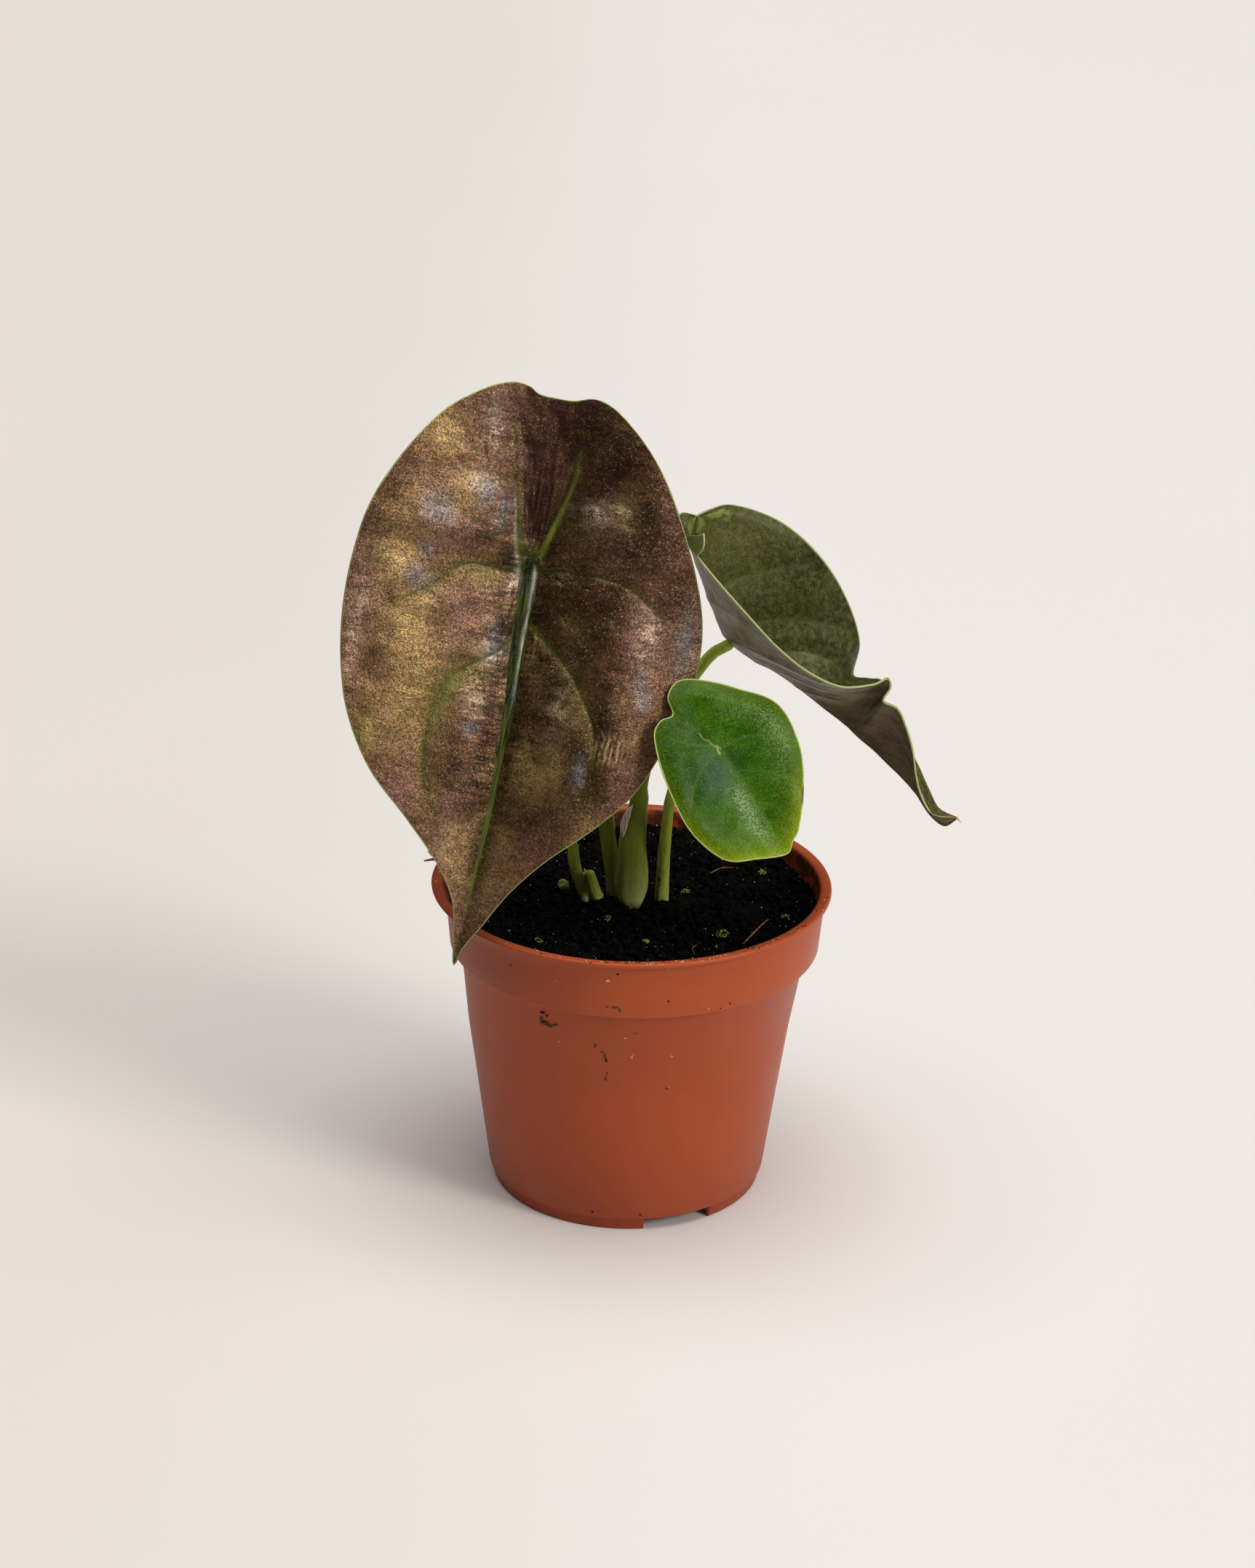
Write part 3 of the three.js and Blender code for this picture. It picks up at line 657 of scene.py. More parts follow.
drift_share = stretch(drifts, 0.3, 0.7)
broken = stretch(maths("ADD", maths("ADD", drifts, mottle), flakes), 1.2, 1.8, 0.65, 1.2)
broken_sheen = times(sheen, stretch(maths("ADD", fibres, mottle), 0.82, 1.15))
print("the copper leaf reads", sum(node.type == "ATTRIBUTE" for node in tree.nodes), "attributes")

# %% Lay the copper leaf's coats
tone = blend(drift_share, srgb(92, 65, 50), srgb(112, 85, 64))
tone = shaded(tone, stretch(flakes, 0.4, 0.6), (1.1, 0.93, 1.06), (0.94, 1.06, 0.8))
# The deep coat is painted shade from the dark spots, and the broken sheen coat is painted highlights.
tone = coats(tone, *[(times(share, broken), strength, colour) for share, strength, colour in (
    (olive, 0.75, (92, 84, 34)), (plum, 0.8, (110, 78, 74)), (red, 1.0, (54, 32, 14)),
    (gold, 0.58, (154, 131, 84)), (vein_glow, 0.6, (76, 74, 20)), (deep, 0.85, (44, 26, 10)),
    (broken_sheen, 0.68, (170, 150, 134)))])
tone = coats(tone, (blue, 0.6, (104, 106, 114)))
tone = shaded(tone, skin_tone, (0.5, 0.48, 0.46), (1.63, 1.58, 1.5))
tone = shaded(tone, stretch(fibres, 0.36, 0.64), (0.8, 0.79, 0.76), (1.26, 1.25, 1.2))
# Painted light and shade: across the flank by the midrib the pleats are striped lighter and darker.
pleat_light_and_shade = shaded(tone, stretch(pleats, 0.42, 0.6), (0.54, 0.54, 0.54), (1.62, 1.62, 1.76))
tone = blend(pleat_share, tone, pleat_light_and_shade)
# The glint and crease coats are painted highlights, and the throat coat is the valley's wine colour with
# painted shade.
tone = coats(tone, (glint, 0.24, (206, 178, 130)), (throat_tone_and_shade, 0.8, (46, 20, 17)), (crease, 0.42, (60, 54, 22)),
             (crease_highlight, 0.8, (198, 168, 118)), (stretch(vein, 0.2, 0.9), 0.7, (60, 70, 8)),
             (dark_core, 0.55, (30, 42, 2)), (bright_line, 0.75, (112, 124, 48)))
ragged = maths("ADD", channel, maths("MULTIPLY_ADD", fibres, 0.9, -0.45))
tone = blend(stretch(ragged, 0.6, 0.95), tone, blend(streaky, srgb(15, 22, 2), srgb(82, 90, 24)))
# The lit line is a painted highlight; the pale line round the margin is the leaf's own colour.
tone = coats(tone, (lit_line, 0.7, (186, 186, 162)), (stretch(rim, 0.3, 0.8), 1.0, (150, 158, 96)))
under = blend(drift_share, srgb(84, 54, 56), srgb(110, 78, 76))
under = coats(under, (stretch(vein, 0.2, 0.8), 1.0, (124, 122, 74)))
fill(shader, {"Base Color": blend(below, tone, under)})

# %% Shine and relief of the copper leaf
bare = maths("SUBTRACT", 1.0, stretch(vein, 0.2, 0.7))
satin = stretch(skin_tone, 0.0, 1.0, 0.42, 0.3)
pleat_height = times(pleats, maths("MULTIPLY_ADD", pleat_share, 3.0, 0.6))
fill(shader, {"Metallic": times(bare, maths("MULTIPLY_ADD", below, -0.5, 0.65)),
              "Specular IOR Level": maths("MULTIPLY_ADD", maths("MAXIMUM", bare, channel), 0.2, 0.1),
              "Roughness": times(satin, maths("MULTIPLY_ADD", channel, -0.4, 1.0)),
              "Normal": bumped(maths("ADD", skin_height, pleat_height), 0.8, 0.00016)})
hand_over(large, "large_leaf_blade_skin", copper, ["large_leaf_blade"])

# %% [markdown]
# The young leaf
#
# The youngest blade is small, thin and still fresh green. It is drawn and thickened just as the large one is,
# from its own outline: a shallow bowl with a blue-grey bloom in the middle, a pale seam from the joint to the
# notch, fine pale veins and a yellow-green margin at the bottom.

# %% Shape the young leaf
YOUNG_OUTLINE = [
    (36.5, 0.4), (33.4, -7.7), (28.3, -16.4), (15.9, -20.4), (0, -18.5), (-11.4, -14.5), (-14.6, -10.4),
    (-14.4, -6.1), (-19.6, -4.3), (-21.9, 0.8), (-18.6, 6.8), (-10.8, 14.2), (-1, 21.3), (11.4, 20.4),
    (22.4, 15), (32, 7.4), (34.3, 3.9),
]
YOUNG_MIDRIB = [([(0, 0), (18, 0.3), (36, 0.2)], 0.9, 0.4)]
YOUNG_SEAM = [([(0.6, 0.2), (-1, -0.8), (-2.4, -1.2), (-3.8, -2.2), (-5.8, -2.4)], 0.26, 0.16),
              ([(0.4, -0.2), (1.6, -0.6), (2.4, -0.2)], 0.3, 0.2)]
YOUNG_VEINS = [
    ([(1, 0), (2, 8), (6, 15), (10, 19)], 0.5, 0.3), ([(1, 0), (3, -7), (8, -14), (14, -19)], 0.5, 0.3),
    ([(0, 0), (-7, 6), (-12, 9), (-17, 6)], 0.5, 0.3), ([(0, 0), (-4, -6), (-9, -11)], 0.5, 0.3),
    ([(8, 0), (13, 7), (19, 12), (24, 13)], 0.5, 0.3), ([(9, 0), (15, -7), (22, -13)], 0.5, 0.3),
    ([(18, 0.3), (24, 5), (30, 7)], 0.4, 0.3), ([(19, 0.3), (25, -5), (30, -8)], 0.4, 0.3),
]
YOUNG_SPOKES, YOUNG_RINGS = 260, 48
young, shares = sheet_grid(YOUNG_SPOKES, YOUNG_RINGS)
flat, to_margin = polar_places(YOUNG_OUTLINE, shares)
x, y = flat.T
seam = closeness(flat, YOUNG_SEAM)
ribs = np.maximum(closeness(flat, YOUNG_MIDRIB), 0.7 * closeness(flat, YOUNG_VEINS))
near_midrib = closeness(flat, redrawn(YOUNG_MIDRIB + YOUNG_SEAM, 4, 4))
near_veins = closeness(flat, redrawn(YOUNG_VEINS, 2, 2))
roll = soft_step((y + 4) / 8) * soft_step((16 - x) / 12)
print("the young leaf has", len(YOUNG_VEINS), "side veins")

# %% Raise the young leaf and write its values
YOUNG_LENGTH, YOUNG_HALF_WIDTH, YOUNG_THICKNESS = 36.5, 21.3, 0.55
# Each line is one effect, in millimetres.
height = (0.14 * (np.hypot(y, 2.5) - 2.5)
          + 0.5 * (1 - near_midrib)
          - 0.2 * near_veins
          - 0.2 * seam
          + 0.3 * ripple(flat, 9, 2, 3.0)
          + 0.06 * ripple(flat, 2.5, 2, 6.0)
          + roll * (bell(to_margin - 5.5, 2.4) - 1.2 * np.exp(-to_margin / 2))
          + 0.4 * bell(to_margin - 4, 2.5) * (1 - roll)
          - 1.6 * (y / YOUNG_HALF_WIDTH) ** 2
          - 3 * (x / YOUNG_LENGTH) ** 2)
bloom = patches(flat, [(6, -5, 7, 6)])
sheen = np.maximum(bell(y + 3, 2.6) * between(x, 9, 7, 33, 7),
                   0.7 * bell(x - 4, 12) * bell(to_margin - 6, 3) * soft_step(y / 6))
torn = patches(flat, [(26, 14, 4, 3)]) * np.exp(-to_margin / 1.2)
ripe = np.clip(np.exp(-to_margin / 3.2) * (0.35 + np.clip((x - 6 - y * 0.4) / 22, 0, 1)), 0, 1)
thicken(young, np.stack([x, y, height], axis=1), {
    "veins": [ribs, seam, np.exp(-to_margin / 0.26), bloom],
    "tones": [ripe, torn, np.clip(-(y + 0.4 * x) / 16, 0, 1), sheen],
}, YOUNG_THICKNESS)
young.transform(YOUNG_POSE)
print("the young leaf has", len(young.verts), "vertices")

# %% [markdown]
# The finish of the young leaf is a plainer satin than the copper one, with no metal in it. Its greens wander
# a little, a blue-grey bloom lies in the middle, and the torn corner at the lower right has dried brown.

# %% The fresh green finish
fresh, tree, shader = material("fresh_leaf", IOR=1.45, Specular_IOR_Level=0.12)
place, below, skin_tone, skin_height, glint = blade_skin(2000.0)
rib, pale_seam, rim, bloom_share = read("veins")
ripe_share, torn_share, shade_side, sheen_share = read("tones")
drift_share = stretch(noise_at(place, 150.0, 4.0), 0.35, 0.65)
tone = blend(drift_share, srgb(38, 76, 3), srgb(56, 96, 6))
# The sheen coat is a painted highlight along the midrib and inside the right margin, the glint coat paints
# glints, and the shade side is painted shade.
tone = coats(tone, (bloom_share, 0.85, (52, 76, 56)), (times(sheen_share, skin_tone), 0.85, (130, 150, 98)),
             (ripe_share, 1.0, (120, 138, 8)), (shade_side, 0.6, (28, 58, 0)))
tone = shaded(tone, skin_tone, (0.74, 0.74, 0.7), (1.3, 1.3, 1.36))
tone = coats(tone, (rib, 0.3, (98, 132, 48)), (glint, 0.12, (190, 204, 150)),
             (pale_seam, 0.9, (186, 200, 104)), (stretch(rim, 0.12, 0.45), 1.0, (176, 190, 112)),
             (stretch(torn_share, 0.2, 0.6), 1.0, (120, 82, 40)))
under = blend(drift_share, srgb(104, 128, 72), srgb(126, 146, 92))
fill(shader, {"Base Color": blend(below, tone, under),
              "Roughness": stretch(skin_tone, 0.0, 1.0, 0.27, 0.38),
              "Normal": bumped(skin_height, 0.5, 0.0001)})
hand_over(young, "young_leaf_blade_skin", fresh, ["young_leaf_blade"])

# %% [markdown]
# The folded leaf
#
# The second leaf stands half closed, like a shell on its hinge. Polar spokes would crowd at its fold, so it
# is laid between three long lines instead: the keel, where the midrib runs, and its two margins. Every cross
# line leaves one margin, rounds the keel and ends at the other margin.

# %% Three long lines
KEEL = [
    (-31, 22, 15), (-26.5, 14, 13), (-14, 4.6, 5), (-0.3, -2.1, -1.5), (18, 1, -2.5), (36.5, 1, -1),
    (55.5, 1, 0), (70, 0, 0), (78, -2.2, 0), (82.5, -1.8, 0), (83.6, 2.7, 0),
]
FAR_MARGIN = [
    (-31, 22, 15), (-29, 26.6, 10), (-26, 31, 6), (-12, 37, 0), (3, 37, -2), (16.5, 33, -6), (29, 25.5, -14),
    (34.5, 16.8, -21), (38.6, 19, -19), (42, 20.5, -14), (44.5, 13.5, -12), (52, 13, -9), (63, 8.5, -5),
    (72, 4, -3), (78, 1.5, -1), (83.6, 2.7, 0),
]
NEAR_MARGIN = [
    (-31, 22, 15), (-35, 19.5, 16), (-34, 16, 18), (-29.3, 14, 19.5), (-22, 11.8, 24), (-11, 9.4, 28),
    (0, 7.5, 31), (11.5, 5.8, 33), (22, 6, 32.5), (32, 8.8, 31), (39, 15.5, 26), (41.5, 20, 20),
    (43.5, 18.5, 18.5), (44.2, 14.2, 19), (49, 15.2, 16), (54.6, 12.8, 13), (61, 8.5, 10), (66, 4.2, 6),
    (70, 1.5, 3), (77, -1.2, 1), (83.6, 2.7, 0),
]
FOLDED_ROWS, FOLDED_COLUMNS = 230, 96
folded, shares = sheet_grid(FOLDED_COLUMNS, FOLDED_ROWS)
side, along = 2 * shares[:, 0] - 1, shares[:, 1]


def row_points(line):
    """The point of a smooth line that belongs to each vertex's row"""
    return np.stack([np.interp(along * FOLDED_ROWS, np.arange(FOLDED_ROWS + 1), column)
                     for column in smooth_line(line, FOLDED_ROWS).T], axis=1)


keel, far, near = row_points(KEEL), row_points(FAR_MARGIN), row_points(NEAR_MARGIN)
print("the keel ends at", keel[-1].round(1))

# %% Shape the folded leaf
VALLEY = 0.12
FOLDED_LENGTH, FOLDED_WING = 130, 38
to_far, to_near = far - keel, near - keel
hill, most = np.hypot(side, VALLEY), np.hypot(1, VALLEY) + 1
share_far, share_near = ((hill - side) / most)[:, None], ((hill + side) / most)[:, None]
folded_places = keel + to_far * share_far + to_near * share_near
half_width = np.where(side < 0, np.linalg.norm(to_far, axis=1), np.linalg.norm(to_near, axis=1))
to_margin = half_width * (1 - np.abs(side))
print("the folded leaf is up to", round(float(half_width.max()), 1), "mm wide on a side")

# %% Thicken the folded leaf
FOLDED_THICKNESS = 0.6
FOLDED_VEINS = [([(0, 0), (65, 0), (130, 0)], 1.8, 0.8)]
for start, reach in ((26, 14), (38, 24), (50, 32), (64, 34), (80, 30), (96, 22)):
    for turn in (-1, 1):
        points = [(start, 0), (start + reach * 0.25, turn * 14), (start + reach, turn * 35)]
        FOLDED_VEINS.append((points, 0.9, 0.5))
drawn = np.stack([along * FOLDED_LENGTH, side * FOLDED_WING], axis=1)
ribs = closeness(drawn, FOLDED_VEINS)
near_ribs = closeness(drawn, redrawn(FOLDED_VEINS, 4.5, 4.5))
swell = 0.6 * (1 - near_ribs) - 0.16 * ribs + 0.3 * ripple(drawn, 14, 2, 1.0)
swell = (swell + 0.07 * ripple(drawn, 3.5, 2, 7.0)) * np.clip(to_margin / 3, 0.15, 1)
PALE_SPOTS, OLIVE_SPOT = [(3, -12, 5, 12), (9, -30, 6, 5), (3, 10, 5, 10)], [(16, -16, 18, 16)]
pale_base = patches(drawn, PALE_SPOTS, 0.9 * ripple(drawn, 2.2, 4, 9.0))
olive_area = patches(drawn, OLIVE_SPOT, 0.9 * ripple(drawn, 6, 4, 19.0))
folded_values = {"veins": [ribs, pale_base, np.exp(-to_margin / 0.5), olive_area], "tones": [along]}
thicken(folded, folded_places, folded_values, FOLDED_THICKNESS, swell)
folded.transform(FOLDED_POSE)
print("the folded leaf has", len(folded.verts), "vertices")

# %% [markdown]
# Two finishes on one blade
#
# From the front the folded leaf shows both of its faces: the dark olive upper one inside the fold, and the
# grey-purple lower one on the wing that stands towards us. A few darker veins cross the lower face, and a
# pale line runs along the margin. The value on the lower face chooses between the two again.

# %% The olive and grey-purple finish
olive_leaf, tree, shader = material("olive_leaf", IOR=1.45, Specular_IOR_Level=0.2)
place, below, skin_tone, skin_height, _ = blade_skin(1700.0)
rib, base_light, rim, olive_share = read("veins")
way_along = read("tones")[0]
marks = noise_at(place, 620.0, 5.0, 0.7)
tone = blend(stretch(noise_at(place, 85.0, 5.0, 0.6), 0.36, 0.64), srgb(42, 50, 15), srgb(60, 60, 24))
tone = coats(tone, (olive_share, 0.65, (92, 92, 34)))
dimmed = blend(1.0, tone, (0.76, 0.78, 0.74, 1.0), "MULTIPLY")
tone = blend(stretch(marks, 0.34, 0.72), dimmed, srgb(84, 85, 40))
tone = shaded(tone, skin_tone, (0.7, 0.7, 0.7), (1.35, 1.35, 1.35))
tone = coats(tone, (rib, 0.45, (88, 98, 46)), (stretch(base_light, 0.35, 0.8), 0.7, (122, 132, 60)))
streaks = noise_at(mapped(place, (60.0, 500.0, 500.0), (0.0, 0.9, 0.0)), 1.0, 4.0)
under = blend(stretch(streaks, 0.35, 0.65), srgb(98, 92, 65), srgb(124, 115, 86))
under = shaded(under, skin_tone, (0.86, 0.86, 0.86), (1.1, 1.1, 1.1))
under = coats(under, (stretch(way_along, 0.42, 0.75), 0.6, (66, 47, 36)), (rib, 0.5, (58, 56, 36)))
both = coats(blend(below, tone, under), (stretch(way_along, 0.93, 1.0), 0.7, (98, 62, 40)),
             (stretch(rim, 0.45, 0.85), 1.0, (162, 170, 112)))
fill(shader, {"Base Color": both,
              "Metallic": maths("MULTIPLY_ADD", below, -0.1, 0.2),
              "Roughness": stretch(skin_tone, 0.0, 1.0, 0.34, 0.5),
              "Normal": bumped(skin_height, 0.5, 0.0001)})
hand_over(folded, "folded_leaf_blade_skin", olive_leaf, ["folded_leaf_blade"])

# %% [markdown]
# The curled lobe
#
# By the notch a corner of the near wing curls up and inwards, and shows its dark upper face with a pale edge.
# It is a small sheet between three corners, bowed in the middle, and thickened as the blades are.

# %% Curl a lobe over the notch
LOBE_POINT, LOBE_TOP, LOBE_FOOT = (np.array(corner) for corner in (
    (13.2, -4.6, 205.6), (18.6, -9.4, 209.0), (16.9, -9.2, 202)))
LOBE_THICKNESS = 0.5
lobe, shares = sheet_grid(40, 30)
out, up = shares.T
lobe_places = LOBE_POINT + out[:, None] * (LOBE_FOOT - LOBE_POINT + up[:, None] * (LOBE_TOP - LOBE_FOOT))
lobe_places += np.outer(np.sin(up * math.pi) * out, (0.9, -1.5, -0.3))
lobe_places += np.outer(np.sin(out * 6) * up, (0, 0, 0.35))
edge_gap = np.minimum(1 - up, 1 - out) * 8
same = np.ones(len(shares))
lobe_values = {"veins": [0 * same, 0.7 * same, np.exp(-edge_gap / 0.5)], "tones": [0.4 * same]}
thicken(lobe, lobe_places, lobe_values, LOBE_THICKNESS)
hand_over(lobe, "folded_leaf_curl", olive_leaf)

# %% [markdown]
# Stalks
#
# A petiole is a bent stalk that thins on its way up. It starts as a flat grid, which is rolled round a smooth
# line and merged along its seam. The ends are rounded by letting the last rings shrink to a point, which
# closes the skin without a flat cap.

# %% Roll a stalk round a line
def run_along(points, steps):
    """A smooth line's points, its directions to the right and to the front, and the way to each point"""
    path = smooth_line(points, steps)
    ahead = np.gradient(path, axis=0)
    ahead /= np.linalg.norm(ahead, axis=1)[:, None]
    across = np.cross(ahead, (0, -1, 0))
    across /= np.linalg.norm(across, axis=1)[:, None]
    way = np.concatenate([[0], np.cumsum(np.linalg.norm(np.diff(path, axis=0), axis=1))])
    return path, across, np.cross(across, ahead), way


def stalk(points, radii, steps, edges=None, sides=40, uneven=0.02):
    """A closed bent tube in millimetres; edges are (height, left edge, right edge) seen from the front"""
    bm, shares = sheet_grid(sides, steps)
    path, across, front, way = run_along(points, steps)
    plain = np.interp(np.linspace(0, 1, steps + 1), np.linspace(0, 1, len(radii)), radii)
    to_end = np.clip(np.minimum(way, way[-1] - way) / plain, 0, 1)
    radius = plain * np.sqrt(1 - (1 - to_end) ** 2)
    row = np.rint(shares[:, 1] * steps).astype(int)
    turn = shares[:, 0] * 2 * math.pi
    lumps = np.sin(turn * 3 + way[row] * 0.11) + 0.5 * np.sin(turn * 7 - way[row] * 0.05)
    offset = across[row] * np.cos(turn)[:, None] + front[row] * np.sin(turn)[:, None]
    offset *= (radius[row] * (1 + uneven * lumps))[:, None]
    if edges:
        level, left, right = np.array(edges).T
        middle, height = path[row, 0], path[row, 2]
        reach = np.where(offset[:, 0] < 0, middle - np.interp(height, level, left),
                         np.interp(height, level, right) - middle)
        offset[:, 0] *= 1 + (reach / plain[row] - 1) * between(height, level[0] - 2, 2, level[-1], 4)
    for vert, co in zip(bm.verts, path[row] + offset):
        vert.co = co
    bmesh.ops.remove_doubles(bm, verts=bm.verts, dist=MERGE)
    bmesh.ops.recalc_face_normals(bm, faces=bm.faces)
    return bm


def behind(pose, distance):
    """The point a little behind a leaf's joint"""
    return tuple(pose @ Vector((0, 0, -distance)))


print("a petiole ends at", [round(value, 1) for value in behind(LARGE_POSE, 0.85)])

# %% [markdown]
# The finish of the stalks
#
# Petioles are smooth and slightly waxy. They are pale where the soil keeps off the light, olive green above
# it, and fresh green near the blades, where the green is made brighter as painted light in the leaves' shade.
# The young petiole is brightened the same way. Fine streaks run along them, so the noise that draws them is
# squeezed across and stretched upwards.

# %% The pale green stalk finish
green_stalk, tree, shader = material("green_stalk", IOR=1.45, Specular_IOR_Level=0.15)
place = object_place()
height = add("SeparateXYZ", {"Vector": place}).outputs["Z"]
streaks = noise_at(mapped(place, (900.0, 900.0, 70.0)), 1.0, 3.0)
blotches = noise_at(place, 260.0, 3.0)
dots = noise_at(place, 1300.0)
pale_and_lit_share = attribute("fresh").outputs["Fac"]
soiled = times(stretch(height, 0.0885, 0.0925, 1.0, 0.0), stretch(blotches, 0.38, 0.5))
dotted = times(stretch(dots, 0.64, 0.72), stretch(height, 0.096, 0.112, 0.8, 0.15))
# Painted light: the fresh green near the blades is made brighter where the leaves shade the stalks, and the
# young petiole is brightened too.
tone = blend(stretch(height, 0.1, 0.125), srgb(128, 138, 48), srgb(104, 116, 12))
tone = coats(tone, (stretch(height, 0.088, 0.106, 1.0, 0.0), 1.0, (166, 173, 104)),
             (stretch(height, 0.14, 0.165), 1.0, (196, 222, 86)), (pale_and_lit_share, 0.65, (166, 180, 66)),
             (stretch(streaks, 0.4, 0.68), 0.4, (92, 104, 44)),
             (stretch(blotches, 0.66, 0.74), 1.0, (96, 92, 48)), (soiled, 1.0, (52, 44, 32)),
             (dotted, 1.0, (92, 74, 44)))
fill(shader, {"Base Color": tone, "Roughness": stretch(streaks, 0.3, 0.7, 0.32, 0.46),
              "Normal": bumped(streaks, 0.35, 0.0001)})
print("stalk colours are laid by height, in metres")

# %% The five stalks
STALK_FOOT = 82.3
STALKS = {
    "large_leaf_petiole": (
        [(-4.9, 3.6, STALK_FOOT), (-5, 3.6, 90), (-5.8, 3.4, 99), (-7.3, 3, 110), (-8.8, 2.7, 120),
         (-12.6, 3, 147), (-20, 4, 174), (-26.5, 4, 190), behind(LARGE_POSE, 6), behind(LARGE_POSE, 0.85)],
        [2, 2.6, 2.5, 2.1, 1.9, 1.8, 1.8], 220,
        [(86, -7.2, -0.6), (88.2, -7.4, -1.2), (92, -7.7, -3.2), (96.5, -7.9, -4.8), (103.6, -9, -4.3),
         (113, -10.2, -5.5)]),
    "young_leaf_petiole": (
        [(8.6, 1.6, STALK_FOOT), (8.8, 1, 91), (9.7, -4, 108), (11, -10.5, 127), (14.5, -19, 141),
         behind(YOUNG_POSE, 5), behind(YOUNG_POSE, 0.7)],
        [2.1, 2.2, 2, 1.6, 1.3, 1.2], 160,
        [(89.8, 7, 11.3), (97, 7.3, 11.3), (106.7, 7.6, 11.4), (126.4, 9.3, 12.2)]),
    "old_petiole_stub": (
        [(-12.4, 1.4, STALK_FOOT), (-13.3, 0.9, 91), (-14.5, 0.4, 94.5), (-16.5, -0.2, 100.6),
         (-17.8, -0.8, 107), (-20.5, -1.5, 121)],
        [1.8, 2.0, 1.7, 1.75, 1.6, 1.7, 1.5], 100,
        [(89.9, -15.3, -12.2), (92.8, -16.6, -13), (97.7, -18.2, -14.6), (106.3, -19.9, -16.4)]),
    "side_shoot": (
        [(-9.2, -1.4, STALK_FOOT), (-9.7, -1.7, 89.5), (-11.2, -2.5, 94.8), (-12.7, -3, 100.6)],
        [1.4, 1.6, 1.7, 1.6, 1.2], 60, None),
    "folded_leaf_petiole": (
        [(1, -3, STALK_FOOT), (1, -3, 90), (0.4, -2.9, 102), (1.4, -2.4, 117), (3, -0.8, 131), (9, 3, 147),
         (17, 5.6, 159.5), (22.6, 6.8, 166.6), (26.1, 6.2, 169.1), (27.9, 4.1, 171)],
        [2.0, 2.5, 2.7, 2.3, 1.9, 1.65, 1.6, 1.7, 1.7], 220,
        [(86.5, -2, 2.2), (89.4, -3, 3), (91.8, -4, 3.9), (94.6, -4.8, 4.8), (97.5, -5, 5),
         (101.2, -4.7, 4.9), (105.9, -4.3, 4.5), (108.7, -4.2, 4.2), (113.4, -3.6, 4.2), (117.2, -2.9, 4.3),
         (121, -1.2, 4.5), (127.7, -0.4, 5)]),
}
PALE_AND_KNOBBLY = ("old_petiole_stub", "side_shoot")
# These stalks get a brighter yellow-green coat: on the young petiole it is painted light, on the stub and the
# side shoot it is their own paler colour.
PALE_AND_LIT_STALKS = (*PALE_AND_KNOBBLY, "young_leaf_petiole")
for node, (points, radii, steps, edges) in STALKS.items():
    shape = stalk(points, radii, steps, edges, uneven=0.07 if node in PALE_AND_KNOBBLY else 0.02)
    pale_and_lit_layer = shape.verts.layers.float.new("fresh")
    for vert in shape.verts:
        vert[pale_and_lit_layer] = float(node in PALE_AND_LIT_STALKS)
    hand_over(shape, node + "_flesh", green_stalk, [node])

# %% [markdown]
# The pot
#
# The pot is injection-moulded plastic: a thin wall with a rolled lip, a taller collar that makes the pots
# stack, and a foot ring with three notches. Its wall is one outline turned round the axis, which is what spin
# is for. The notches and the six drain holes are cut out afterwards with a Boolean modifier, and the result
# is kept.

# %% Spin the pot
def spun(profile, steps=192, angle=2 * math.pi):
    """Turns an outline of (radius, height) round the axis"""
    bm = bmesh.new()
    line = [bm.verts.new((radius, 0, height)) for radius, height in profile]
    edges = [bm.edges.new(pair) for pair in zip(line, line[1:])]
    bmesh.ops.spin(bm, geom=line + edges, cent=(0, 0, 0), axis=(0, 0, 1), angle=angle, steps=steps,
                   use_merge=angle == 2 * math.pi)
    bmesh.ops.remove_doubles(bm, verts=bm.verts, dist=MERGE / 2)
    bmesh.ops.recalc_face_normals(bm, faces=bm.faces)
    return bm


POT_OUTSIDE = [
    (0, 4), (39.1, 4), (39.1, 0.3), (39.4, 0), (40.8, 0), (41.1, 0.3), (41.4, 3.7), (42.1, 4), (42.4, 4.4),
    (45.6, 28), (48.9, 52), (52.1, 76.2), (52.5, 76.9), (55.1, 77.2), (55.5, 77.5), (55.7, 78), (56.2, 84),
    (56.8, 90), (57.3, 94.4), (57.6, 94.9), (58.5, 95.1), (59.5, 95.1), (59.85, 95.25), (60, 95.6), (60, 96),
    (59.85, 96.3), (59.4, 96.4), (58, 96.4), (57.1, 96.2), (56.4, 95.6),
]
POT_INSIDE = [(56, 94.2), (55.2, 87), (54.3, 78.8), (53.9, 78.2), (51, 77.6), (50.8, 77), (46, 41),
              (41.4, 6.2), (40.8, 5.6), (0, 5.6)]
pot = spun([*POT_OUTSIDE, *POT_INSIDE])
print("the pot is spun from", len(POT_OUTSIDE) + len(POT_INSIDE), "points")

# %% Shape the tools that cut the notches and the drain holes
# Widths and bearings of the notches are in degrees.
DRAIN_HOLES, DRAIN_RADIUS, DRAIN_RING, FLOOR_LEVEL = 6, 3, 27, 5
NOTCHES, NOTCH_WIDTH, FIRST_NOTCH = 3, 30, -67
NOTCH_PROFILE = [(36, -2), (45, -2), (45, 3.5), (36, 3.5), (36, -2)]


def pour(bm, other):
    """Adds another bmesh to a bmesh"""
    mesh = bpy.data.meshes.new("poured")
    other.to_mesh(mesh)
    other.free()
    bm.from_mesh(mesh)
    bpy.data.meshes.remove(mesh)


